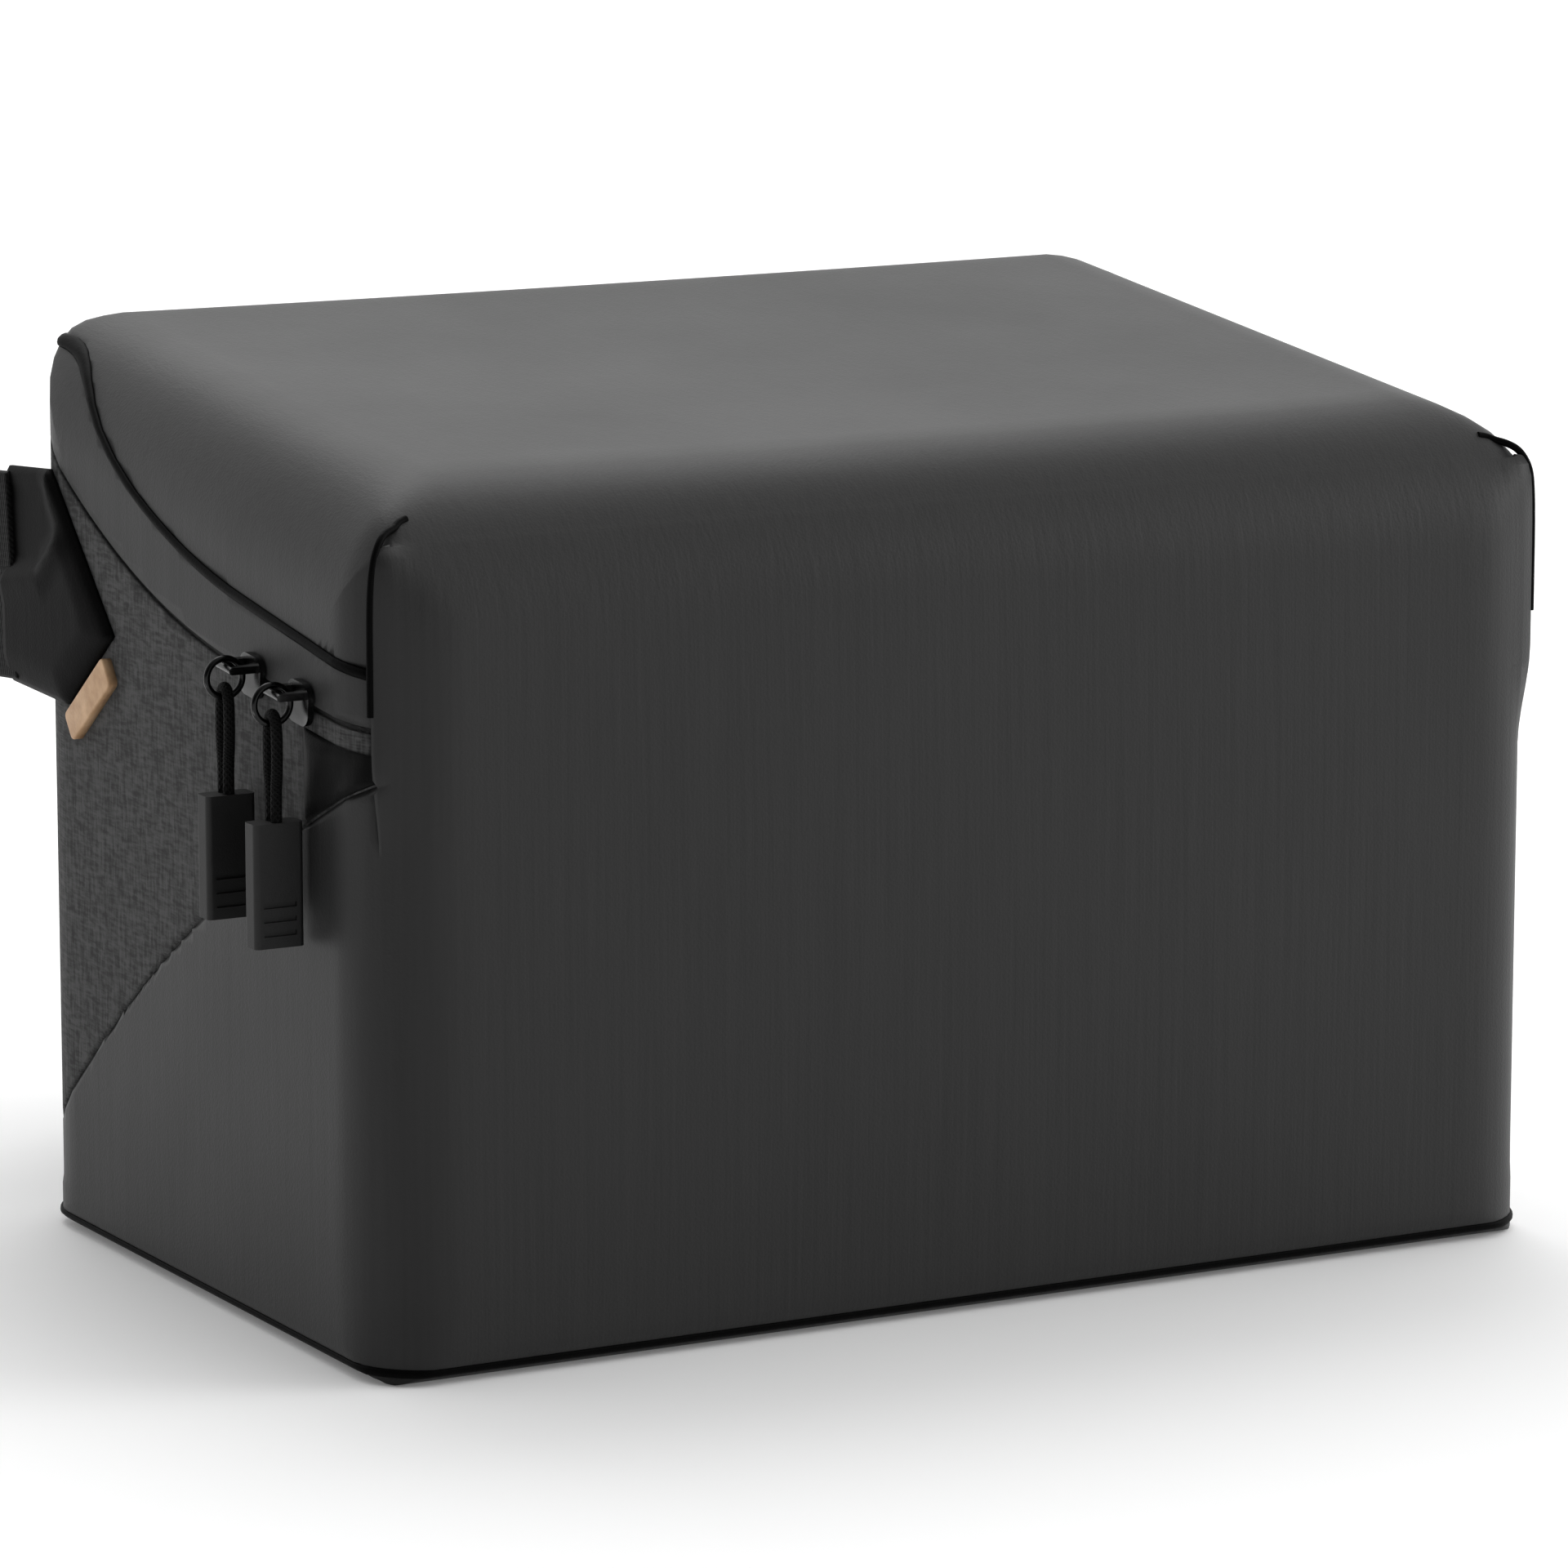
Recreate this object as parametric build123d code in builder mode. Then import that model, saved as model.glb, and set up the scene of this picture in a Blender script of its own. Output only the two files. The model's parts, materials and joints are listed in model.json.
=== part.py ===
"""A soft-sided, fire-lined bag for batteries, with a zipped lid that folds open to the front.

Origin: centre of the base, on the surface it stands on. X is the width, the plain front
panel faces -Y, Z is up. Millimetres.
"""
from build123d import *
from math import atan, cos, degrees, radians, sin, tan
import os

# ---- outer form -------------------------------------------------------------------
WIDTH = 308.0
DEPTH = 200.0
FRONT_HEIGHT = 193.0          # the lid slopes down from back to front
BACK_HEIGHT = 219.0
FRONT_CORNER_R = 20.0         # upright corners, seen from above
BACK_CORNER_R = 30.0
FRONT_TOP_R = 32.0            # soft roll from the front panel into the lid
BACK_TOP_R = 10.0
FRONT_BOTTOM_R = 6.0
BACK_BOTTOM_R = 28.0
SHOULDER_R = 26.0             # roll from the lid's top into its sides
ROLL_EASE = 0.05              # a roll starts this far outside the flats that it joins
MIN_R = 1.0

# ---- layers of the wall, outside to inside ----------------------------------------
SKIN = 1.0                    # coated or woven outer fabric
PAD = 6.0                     # closed-cell foam board
LINER = 0.8                   # fire-resistant woven lining
WALL = SKIN + PAD + LINER

# ---- lines across the side of the bag (y, z in the side view) ---------------------
HINGE_DROP = 46.8             # the lid folds this far below the front edge
ZIP_SLOPE = 0.09              # rise of the zip's straight run, per millimetre
ZIP_STRAIGHT = 68.0           # straight run of the zip, back from the front panel
ZIP_BACK_DROP = 14.0          # zip below the back edge of the lid
PIPING_FRONT_GAP = 11.3       # piping above the zip at the front corner
PIPING_SLOPE = 0.15
PIPING_STRAIGHT = 70.0
PIPING_BACK_DROP = 8.0
PIPING_END_GAP = 27.0         # piping reaches its full height this far from the back
SEAM_FRONT_Z = 138.0          # seam between front cover and side panel: front, middle, rear
SEAM_MID = (91.5, 91.6)       # distance back from the front, height
SEAM_REAR = (174.0, 32.0)
CORNER_SEAM = 8.0             # upright seam of the lid, back from the front panel
BASE_SEAM_Z = 5.0

# ---- zip --------------------------------------------------------------------------
FOLD_GAP = 0.3                # between lid and body skins along the fold
TEETH_GAP = 2.4               # open slot between the two halves of the zip
TAPE = 0.8
COIL = 1.4                    # thickness of the coil, behind the tape
COIL_WIDTH = 1.5
BINDING = 1.0                 # tape bound over the raw edges of foam and lining
BINDING_DROP = 4.5            # binding's edge, from the zip line
PIPING_WIDTH = 2.0
PIPING_PROUD = 0.8
GUSSET = 1.0                  # folded fabric at each end of the zip
GUSSET_LENGTH = 30.0
GUSSET_DROP = 5.6             # top of the gusset below the zip line, clear of the sliders

# ---- sliders and their pulls ------------------------------------------------------
SLIDER_REAR_BACK = 61.0       # middle of each slider, back from the front panel
SLIDER_FRONT_BACK = 36.0
SLIDER_LENGTH = 11.0
SLIDER_WIDTH = 9.6
SLIDER_PLATE = 1.4
SLIDER_CORNER_R = 3.2
SLIDER_CLEAR = 0.4
INNER_PLATE = (9.9, 6.6)      # plate behind the coil: length, width
INNER_PLATE_CORNER_R = 1.2
NECK = (5.5, 1.0)             # between the plates: length, width
ARCH_RISE = 2.5               # crown of the arch above the zip line
ARCH_REACH = 8.0              # crown of the arch out from the side
CROWN_R = 0.85
RING_WIRE_R = 0.75
RING_INNER_R = 3.6
RING_PLAY = 0.35
CORD_D = 2.6
CORD_PLAY = 0.1
CORD_STRAIGHT = 7.0           # cord stands straight out of the tab
PULL_TAB_DROP = 26.0          # top of the rubber tab below the zip line
PULL_TAB = (12.0, 5.8, 28.0)  # width, thickness, height
PULL_TAB_EDGE_R = 1.2
GRIP_GROOVES = 3
GRIP_PITCH = 3.2
GRIP_GROOVE = (7.9, 1.1)      # width across the tab, height
GRIP_DEPTH = 0.5

# ---- strap ------------------------------------------------------------------------
STRAP_WIDTH = 50.0
STRAP = 1.8                   # webbing thickness
WING = 3.5                    # padded anchor sewn on each side
WING_SEAM_TOP = (26.0, 35.0)  # in from the back panel, below the back edge
WING_SEAM_FOOT = (61.0, 70.0)
WING_CORNER = (34.6, 90.0)
WING_END = 2.0                # wing ends this far in from the back panel
WING_END_WIDTH = 52.0
STRAP_DROP = 63.0             # middle of the strap below the back edge
EDGE_TAB = (28.0, 7.5, 2.4)   # leather bar below the wing: length, width, thickness
EDGE_TAB_MIDDLE = (48.8, 86.4)
EDGE_TAB_CORNER_R = 1.5
STRAP_RUN_OUT = 55.0          # middle of the strap's run along the floor, behind the bag
FITTING = 2.4                 # thickness of the flat bars of ring and adjuster
FITTING_BAR = 3.2
STRAP_CLEAR = 0.3
RING_LENGTH = 20.0
RING_SIDE_GAP = 1.0
RING_IN = 66.0                # middle of the square ring, in from the right anchor
ADJUSTER_LENGTH = 22.0
ADJUSTER_FROM_RING = 52.0
LEFT_TAIL = 84.0              # webbing folded back underneath, from the ring's middle
RIGHT_TAIL = 26.0

# ---- dividers ---------------------------------------------------------------------
DIVIDER = 6.0
DIVIDER_TOP = 118.0
DIVIDER_X = 49.0
DIVIDER_CLEAR = 0.4
HOOK_STRIP = 1.2
HOOK_STRIP_WIDTH = 24.0
HOOK_STRIP_HEIGHT = 86.0

REACH = 600.0                 # larger than the bag, for cutting blocks
HALF_W = WIDTH / 2
FRONT_Y = -DEPTH / 2
BACK_Y = DEPTH / 2
HINGE_Z = FRONT_HEIGHT - HINGE_DROP
TOP_SLOPE = atan((BACK_HEIGHT - FRONT_HEIGHT) / DEPTH)


# ---- the closed outer form and the regions that cut it up -------------------------
def drawn_in(radius, inset):
    return max(radius - inset, MIN_R)


def corner_of(sketch, x_sense, y_sense):
    return max(sketch.vertices(), key=lambda v: x_sense * v.X + y_sense * v.Y)


def envelope(inset):
    """The closed outer form of the bag, drawn in all round by inset."""
    half_w = HALF_W - inset
    half_d = DEPTH / 2 - inset
    with BuildPart() as form:
        with BuildSketch(Plane.XY.offset(-ROLL_EASE)) as plan:
            Rectangle(2 * half_w, 2 * (half_d + ROLL_EASE))
            for side in (-1, 1):
                fillet(corner_of(plan, side, -1), drawn_in(FRONT_CORNER_R, inset))
                fillet(corner_of(plan, side, 1), drawn_in(BACK_CORNER_R, inset))
        extrude(amount=REACH)
        with BuildSketch(Plane.YZ.offset(-REACH)) as side_view:
            with BuildLine():
                Polyline(
                    (-half_d, inset), (half_d, inset), (half_d, BACK_HEIGHT - inset),
                    (-half_d, FRONT_HEIGHT - inset), close=True,
                )
            make_face()
            fillet(corner_of(side_view, -1, -1), drawn_in(FRONT_BOTTOM_R, inset))
            fillet(corner_of(side_view, 1, -1), drawn_in(BACK_BOTTOM_R, inset))
            fillet(corner_of(side_view, 1, 1), drawn_in(BACK_TOP_R, inset))
            fillet(corner_of(side_view, -1, 1), drawn_in(FRONT_TOP_R, inset))
        extrude(amount=2 * REACH, mode=Mode.INTERSECT)
        top_edge = Plane(
            origin=(0, -half_d, FRONT_HEIGHT - inset), x_dir=(1, 0, 0),
            z_dir=(0, cos(TOP_SLOPE), sin(TOP_SLOPE)),
        )
        with BuildSketch(top_edge.offset(-REACH)) as shoulders:
            with Locations((0, REACH / 2 - ROLL_EASE)):
                Rectangle(2 * (half_w + ROLL_EASE), REACH)
            for side in (-1, 1):
                fillet(corner_of(shoulders, side, -1), drawn_in(SHOULDER_R, inset))
        extrude(amount=2 * REACH, mode=Mode.INTERSECT)
    return form.part


def layer(outer_inset, inner_inset):
    with BuildPart() as shell:
        add(envelope(outer_inset))
        add(envelope(inner_inset), mode=Mode.SUBTRACT)
    return shell.part


def block(low, high):
    size = [b - a for a, b in zip(low, high)]
    with BuildPart() as cut:
        with Locations(tuple((a + b) / 2 for a, b in zip(low, high))):
            Box(*size)
    return cut.part


def zip_height(back):
    """Height of the zip's straight run, at a distance back from the front panel."""
    return HINGE_Z + ZIP_SLOPE * back


def bent_line(start, slope, straight, end, rise):
    """A straight run and a tangent arc across the side view, with level ends."""
    bend = (start[0] + straight, start[1] + slope * straight + rise)
    run = Line((start[0], start[1] + rise), bend)
    TangentArc(bend, (end[0], end[1] + rise), tangent=run % 1)
    Polyline(
        (end[0], end[1] + rise), (REACH, end[1] + rise), (REACH, -REACH), (-REACH, -REACH),
        (-REACH, start[1] + rise), (start[0], start[1] + rise),
    )


def region_below(start, slope, straight, end, rise):
    with BuildPart() as region:
        with BuildSketch(Plane.YZ):
            with BuildLine():
                bent_line(start, slope, straight, end, rise)
            make_face()
        extrude(amount=REACH, both=True)
    return region.part


def below_zip(rise):
    return region_below(
        (FRONT_Y, HINGE_Z), ZIP_SLOPE, ZIP_STRAIGHT, (BACK_Y, BACK_HEIGHT - ZIP_BACK_DROP), rise
    )


def below_piping(rise):
    return region_below(
        (FRONT_Y, HINGE_Z + PIPING_FRONT_GAP), PIPING_SLOPE, PIPING_STRAIGHT,
        (BACK_Y - PIPING_END_GAP, BACK_HEIGHT - PIPING_BACK_DROP), rise,
    )


def below_cover_seam():
    with BuildPart() as region:
        with BuildSketch(Plane.YZ):
            with BuildLine():
                front = (FRONT_Y, SEAM_FRONT_Z)
                rear = (FRONT_Y + SEAM_REAR[0], SEAM_REAR[1])
                seam = ThreePointArc(front, (FRONT_Y + SEAM_MID[0], SEAM_MID[1]), rear)
                tail = rear[1] + (BACK_Y + WALL - rear[0]) * (seam % 1).Y / (seam % 1).X
                Polyline(
                    rear, (BACK_Y + WALL, tail), (BACK_Y + WALL, -REACH), (FRONT_Y - WALL, -REACH),
                    (FRONT_Y - WALL, SEAM_FRONT_Z), front,
                )
            make_face()
        extrude(amount=REACH, both=True)
    return region.part


skin = layer(0, SKIN)
padding = layer(SKIN, SKIN + PAD)
lining = layer(SKIN + PAD, WALL)
body_region = below_zip(-FOLD_GAP / 2)
not_lid_region = below_zip(FOLD_GAP / 2)
below_slot = below_zip(-TEETH_GAP / 2)
below_upper_zip = below_zip(TEETH_GAP / 2)
below_body_binding = below_zip(-BINDING_DROP - BINDING)
below_body_tape = below_zip(-BINDING_DROP)
below_lid_binding = below_zip(BINDING_DROP)
below_lid_pads = below_zip(BINDING_DROP + BINDING)
front_strip = block((-REACH, FRONT_Y - REACH, -REACH), (REACH, FRONT_Y + CORNER_SEAM, REACH))
above_base_seam = block((-REACH, -REACH, BASE_SEAM_Z), (REACH, REACH, REACH))
cover_seam = below_cover_seam()
SPLIT_X = HALF_W - BACK_CORNER_R
middle_region = block((-SPLIT_X, -REACH, -REACH), (SPLIT_X, REACH, REACH))
side_regions = {
    "left": block((-REACH, -REACH, -REACH), (-SPLIT_X, REACH, REACH)),
    "right": block((SPLIT_X, -REACH, -REACH), (REACH, REACH, REACH)),
}
SIDES = {"left": -1, "right": 1}
finished = []


def keep(piece, name):
    piece.part.label = name
    finished.append((name, piece.part))


# ---- body: outer fabric -----------------------------------------------------------
with BuildPart() as base_panel:
    add(skin)
    add(above_base_seam, mode=Mode.SUBTRACT)
keep(base_panel, "base_panel")

with BuildPart() as front_cover:
    add(cover_seam)
    add(front_strip)
    add(skin, mode=Mode.INTERSECT)
    add(body_region, mode=Mode.INTERSECT)
    add(above_base_seam, mode=Mode.INTERSECT)
keep(front_cover, "front_cover")

with BuildPart() as woven_wrap:
    add(skin)
    add(below_slot, mode=Mode.INTERSECT)
    add(above_base_seam, mode=Mode.INTERSECT)
    add(cover_seam, mode=Mode.SUBTRACT)
    add(front_strip, mode=Mode.SUBTRACT)

for name, region in side_regions.items():
    with BuildPart() as side_panel:
        add(woven_wrap.part)
        add(region, mode=Mode.INTERSECT)
    keep(side_panel, f"side_panel_{name}")

with BuildPart() as back_panel:
    add(woven_wrap.part)
    add(middle_region, mode=Mode.INTERSECT)
keep(back_panel, "back_panel")

piping_low = BASE_SEAM_Z - PIPING_WIDTH / 2
piping_high = BASE_SEAM_Z + PIPING_WIDTH / 2
with BuildPart() as base_piping:
    add(layer(-PIPING_PROUD, 0))
    add(block((-REACH, -REACH, piping_low), (REACH, REACH, piping_high)), mode=Mode.INTERSECT)
keep(base_piping, "base_piping")

# ---- body: foam boards and lining -------------------------------------------------
with BuildPart() as body_padding:
    add(padding)
    add(below_body_binding, mode=Mode.INTERSECT)

base_board = block((-REACH, -REACH, -REACH), (REACH, BACK_Y - BACK_BOTTOM_R, SKIN + PAD))
with BuildPart() as base_pad:
    add(body_padding.part)
    add(base_board, mode=Mode.INTERSECT)
keep(base_pad, "base_pad")

with BuildPart() as upright_padding:
    add(body_padding.part)
    add(base_board, mode=Mode.SUBTRACT)

for name, region in side_regions.items():
    with BuildPart() as side_pad:
        add(upright_padding.part)
        add(region, mode=Mode.INTERSECT)
    keep(side_pad, f"side_pad_{name}")

for name, sense in (("front_pad", -1), ("back_pad", 1)):
    low_y, high_y = sorted((0, sense * REACH))
    with BuildPart() as board:
        add(upright_padding.part)
        add(block((-SPLIT_X, low_y, -REACH), (SPLIT_X, high_y, REACH)), mode=Mode.INTERSECT)
    keep(board, name)

with BuildPart() as body_liner:
    add(lining)
    add(below_body_binding, mode=Mode.INTERSECT)
keep(body_liner, "body_liner")

with BuildPart() as body_rim_binding:
    add(layer(SKIN, WALL))
    add(below_body_tape, mode=Mode.INTERSECT)
    add(below_body_binding, mode=Mode.SUBTRACT)
keep(body_rim_binding, "body_rim_binding")

# ---- lid --------------------------------------------------------------------------
with BuildPart() as lid_front:
    add(skin)
    add(front_strip, mode=Mode.INTERSECT)
    add(not_lid_region, mode=Mode.SUBTRACT)
with BuildPart() as lid_cover:
    add(skin)
    add(below_piping(PIPING_WIDTH / 2), mode=Mode.SUBTRACT)
    add(lid_front.part)
keep(lid_cover, "lid_cover")

with BuildPart() as lid_band:
    add(skin)
    add(below_piping(-PIPING_WIDTH / 2), mode=Mode.INTERSECT)
    add(below_upper_zip, mode=Mode.SUBTRACT)
    add(front_strip, mode=Mode.SUBTRACT)
keep(lid_band, "lid_band")

with BuildPart() as lid_piping:
    add(layer(-PIPING_PROUD, SKIN))
    add(below_piping(PIPING_WIDTH / 2), mode=Mode.INTERSECT)
    add(below_piping(-PIPING_WIDTH / 2), mode=Mode.SUBTRACT)
    add(front_strip, mode=Mode.SUBTRACT)
keep(lid_piping, "lid_piping")

with BuildPart() as lid_padding:
    add(padding)
    add(below_lid_pads, mode=Mode.SUBTRACT)

with BuildPart() as lid_top_pad:
    add(lid_padding.part)
    add(middle_region, mode=Mode.INTERSECT)
keep(lid_top_pad, "lid_top_pad")

for name, region in side_regions.items():
    with BuildPart() as lid_side_pad:
        add(lid_padding.part)
        add(region, mode=Mode.INTERSECT)
    keep(lid_side_pad, f"lid_side_pad_{name}")

with BuildPart() as lid_liner:
    add(lining)
    add(below_lid_pads, mode=Mode.SUBTRACT)
keep(lid_liner, "lid_liner")

with BuildPart() as lid_rim_binding:
    add(layer(SKIN, WALL))
    add(below_lid_pads, mode=Mode.INTERSECT)
    add(below_lid_binding, mode=Mode.SUBTRACT)
keep(lid_rim_binding, "lid_rim_binding")

# ---- zip: two tapes with their coils, and the gussets at its ends ------------------
tape_layer = layer(SKIN, SKIN + TAPE)
coil_layer = layer(SKIN + TAPE, SKIN + TAPE + COIL)

with BuildPart() as lower_zipper_tape:
    add(tape_layer)
    add(below_slot, mode=Mode.INTERSECT)
    add(below_body_tape, mode=Mode.SUBTRACT)
    add(front_strip, mode=Mode.SUBTRACT)
keep(lower_zipper_tape, "lower_zipper_tape")

with BuildPart() as lower_zipper_coil:
    add(coil_layer)
    add(below_slot, mode=Mode.INTERSECT)
    add(below_zip(-TEETH_GAP / 2 - COIL_WIDTH), mode=Mode.SUBTRACT)
    add(front_strip, mode=Mode.SUBTRACT)
keep(lower_zipper_coil, "lower_zipper_coil")

with BuildPart() as upper_zipper_tape:
    add(tape_layer)
    add(below_lid_binding, mode=Mode.INTERSECT)
    add(below_upper_zip, mode=Mode.SUBTRACT)
    add(front_strip, mode=Mode.SUBTRACT)
keep(upper_zipper_tape, "upper_zipper_tape")

with BuildPart() as upper_zipper_coil:
    add(coil_layer)
    add(below_zip(TEETH_GAP / 2 + COIL_WIDTH), mode=Mode.INTERSECT)
    add(below_upper_zip, mode=Mode.SUBTRACT)
    add(front_strip, mode=Mode.SUBTRACT)
keep(upper_zipper_coil, "upper_zipper_coil")

gusset_layer = layer(-GUSSET, 0)
for name, region in side_regions.items():
    with BuildPart() as zip_gusset:
        with BuildSketch(Plane.YZ):
            start_y = FRONT_Y + CORNER_SEAM
            end_y = start_y + GUSSET_LENGTH
            seam_drop = zip_height(0) - SEAM_FRONT_Z
            with BuildLine():
                Polyline(
                    (start_y, zip_height(CORNER_SEAM) - GUSSET_DROP),
                    (start_y, zip_height(CORNER_SEAM) - seam_drop - GUSSET),
                    (end_y, zip_height(GUSSET_LENGTH) - 3 * seam_drop),
                    (end_y, zip_height(GUSSET_LENGTH) - GUSSET_DROP),
                    close=True,
                )
            make_face()
        extrude(amount=REACH, both=True)
        add(gusset_layer, mode=Mode.INTERSECT)
        add(region, mode=Mode.INTERSECT)
    keep(zip_gusset, f"zip_gusset_{name}")

# ---- sliders and pulls, on the left side ------------------------------------------
ring_r = RING_INNER_R + RING_WIRE_R
ring_drop = RING_INNER_R - CROWN_R - RING_PLAY
cord_offset = RING_WIRE_R + CORD_D / 2 + CORD_PLAY


def corner_radii(points):
    """Largest radius for each corner of a cord's route: 0.45 of its shorter run."""
    radii = []
    for before, here, after in zip(points, points[1:], points[2:]):
        into = Vector(*here) - Vector(*before)
        out = Vector(*after) - Vector(*here)
        half_turn = radians(into.get_angle(out)) / 2
        radii.append(0.45 * min(into.length, out.length) / tan(half_turn))
    return radii


for name, back in (("rear", SLIDER_REAR_BACK), ("front", SLIDER_FRONT_BACK)):
    middle = (-HALF_W, FRONT_Y + back, zip_height(back))
    # out of the side: local x back along the zip, local y down, local z outwards
    zip_plane = Plane(origin=middle, x_dir=(0, 1, ZIP_SLOPE), z_dir=(-1, 0, 0))
    with BuildPart() as slider:
        with BuildSketch(zip_plane.offset(SLIDER_CLEAR)) as plate:
            RectangleRounded(SLIDER_LENGTH, SLIDER_WIDTH, SLIDER_CORNER_R)
        extrude(amount=SLIDER_PLATE)
        neck_bottom = SKIN + TAPE + COIL + SLIDER_CLEAR
        with BuildSketch(zip_plane.offset(-neck_bottom)):
            Rectangle(*NECK)
        extrude(amount=neck_bottom + SLIDER_CLEAR)
        with BuildSketch(zip_plane.offset(-neck_bottom)):
            RectangleRounded(*INNER_PLATE, INNER_PLATE_CORNER_R)
        extrude(amount=-SLIDER_PLATE)
        post_x = ring_r - RING_WIRE_R
        with BuildSketch(zip_plane.offset(SLIDER_CLEAR + SLIDER_PLATE)):
            with Locations((-post_x, -ARCH_RISE), (post_x, -ARCH_RISE)):
                Rectangle(2 * CROWN_R, 2 * CROWN_R)
        extrude(amount=ARCH_REACH - SLIDER_CLEAR - SLIDER_PLATE)
        crown_plane = Plane(
            origin=zip_plane.from_local_coords((-post_x - CROWN_R, -ARCH_RISE, ARCH_REACH)),
            z_dir=zip_plane.x_dir,
        )
        with BuildSketch(crown_plane):
            Circle(CROWN_R)
        extrude(amount=2 * (post_x + CROWN_R))
    keep(slider, f"slider_{name}")

    pivot = zip_plane.from_local_coords((0, -ARCH_RISE, ARCH_REACH))
    ring_centre = Vector(pivot.X, pivot.Y, pivot.Z - ring_drop)
    with BuildPart() as puller_ring:
        with BuildSketch(Plane(origin=ring_centre, x_dir=(1, 0, 0), z_dir=(0, 0, 1))):
            with Locations((ring_r, 0)):
                Circle(RING_WIRE_R)
        revolve(axis=Axis(tuple(ring_centre), (0, 1, 0)), revolution_arc=360)
    keep(puller_ring, f"puller_ring_{name}")

    fold_z = ring_centre.Z - ring_r + cord_offset
    tab_top = zip_height(back) - PULL_TAB_DROP
    strand = CORD_D / 2 + CORD_PLAY
    half_way = (fold_z + tab_top) / 2
    one_leg = [
        (strand, tab_top),
        (strand, tab_top + CORD_STRAIGHT),
        (cord_offset + CORD_PLAY, half_way),
        (cord_offset, fold_z),
    ]
    route = [(pivot.X, pivot.Y - across, z) for across, z in one_leg]
    route += [(pivot.X, pivot.Y + across, z) for across, z in reversed(one_leg)]
    radii = corner_radii(route)
    print(f"pull_cord_{name} radii", [round(r, 2) for r in radii])
    with BuildPart() as pull_cord:
        with BuildLine():
            path = FilletPolyline(*route, radius=radii)
        with BuildSketch(Plane(origin=path @ 0, z_dir=path % 0)):
            Circle(CORD_D / 2)
        sweep(path=path)
    keep(pull_cord, f"pull_cord_{name}")
    print(f"pull_cord_{name} length", round(path.length, 1))

    tab_width, tab_thickness, tab_height = PULL_TAB
    with BuildPart() as pull_tab:
        with Locations((pivot.X, pivot.Y, tab_top - tab_height / 2)):
            Box(tab_width, tab_thickness, tab_height)
        fillet(pull_tab.edges().filter_by(Axis.Z), PULL_TAB_EDGE_R)
        for groove in range(GRIP_GROOVES):
            groove_z = tab_top - tab_height + GRIP_PITCH * (groove + 1)
            for face in (-1, 1):
                with Locations((pivot.X, pivot.Y + face * tab_thickness / 2, groove_z)):
                    Box(GRIP_GROOVE[0], 2 * GRIP_DEPTH, GRIP_GROOVE[1], mode=Mode.SUBTRACT)
    keep(pull_tab, f"pull_tab_{name}")

# ---- strap anchors sewn on the sides ----------------------------------------------
strap_z = BACK_HEIGHT - STRAP_DROP


def side_point(from_back_and_top):
    return (BACK_Y - from_back_and_top[0], BACK_HEIGHT - from_back_and_top[1])


for name, sense in SIDES.items():
    outward = Plane(origin=(sense * HALF_W, 0, 0), x_dir=(0, 1, 0), z_dir=(1, 0, 0))
    with BuildPart() as wing:
        with BuildSketch(outward):
            with BuildLine():
                Polyline(
                    side_point(WING_SEAM_TOP), side_point(WING_SEAM_FOOT), side_point(WING_CORNER),
                    (BACK_Y - WING_END, strap_z - WING_END_WIDTH / 2),
                    (BACK_Y - WING_END, strap_z + WING_END_WIDTH / 2),
                    close=True,
                )
            make_face()
        extrude(amount=sense * WING)
    keep(wing, f"strap_wing_{name}")

    foot = Vector(*side_point(WING_SEAM_FOOT))
    corner = Vector(*side_point(WING_CORNER))
    edge_angle = degrees(atan((corner.Y - foot.Y) / (corner.X - foot.X)))
    with BuildPart() as edge_tab:
        with BuildSketch(outward):
            with Locations(Location((*side_point(EDGE_TAB_MIDDLE), 0), (0, 0, edge_angle))):
                RectangleRounded(EDGE_TAB[0], EDGE_TAB[1], EDGE_TAB_CORNER_R)
        extrude(amount=sense * EDGE_TAB[2])
    keep(edge_tab, f"wing_tab_{name}")

# ---- strap: two lengths of webbing joined by a square ring --------------------------
anchor_x = HALF_W + WING / 2
run_y = BACK_Y + STRAP_RUN_OUT
upper_z = 1.5 * STRAP + FITTING + 2 * STRAP_CLEAR
ring_x = anchor_x - RING_IN
adjuster_x = ring_x - ADJUSTER_FROM_RING

# stations from the anchor to the floor: in from the anchor, out from the back, height
LEFT_FALL = [
    (0, -WING_END, strap_z), (0, 18, strap_z * 0.987), (6, 40, strap_z * 0.968),
    (24, 56, strap_z * 0.95), (48, 62, strap_z * 0.90), (72, 63, strap_z * 0.77),
    (90, 61, strap_z * 0.57), (106, 58, strap_z * 0.335), (126, 56, strap_z * 0.14),
    (150, STRAP_RUN_OUT, upper_z),
]
RIGHT_FALL = [
    (0, -WING_END, strap_z), (0, 16, strap_z * 0.98), (4, 34, strap_z * 0.91),
    (11, 47, strap_z * 0.79), (17, 54, strap_z * 0.63), (20, 57, strap_z * 0.45),
    (22, 57, strap_z * 0.28), (27, 56, strap_z * 0.13), (38, 55.5, strap_z * 0.05),
    (50, STRAP_RUN_OUT, upper_z),
]


def hanging_webbing(stations, sense):
    """Cross-sections of webbing that starts on edge at the anchor and turns flat."""
    points = [Vector(sense * (anchor_x - inward), BACK_Y + out, z) for inward, out, z in stations]
    headings = [b - a for a, b in zip(points, points[2:])]
    headings = [Vector(0, 1, 0)] + headings + [Vector(-sense, 0, 0)]
    sections = []
    for index, (point, heading) in enumerate(zip(points, headings)):
        turn = radians(90 * index / (len(points) - 1))
        across = Vector(0, sense * sin(turn), cos(turn))
        along = heading.normalized()
        across = across - along * across.dot(along)
        with BuildSketch(Plane(origin=point, x_dir=across, z_dir=along)) as section:
            Rectangle(STRAP_WIDTH, STRAP)
        sections.append(section.sketch)
    return sections


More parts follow.
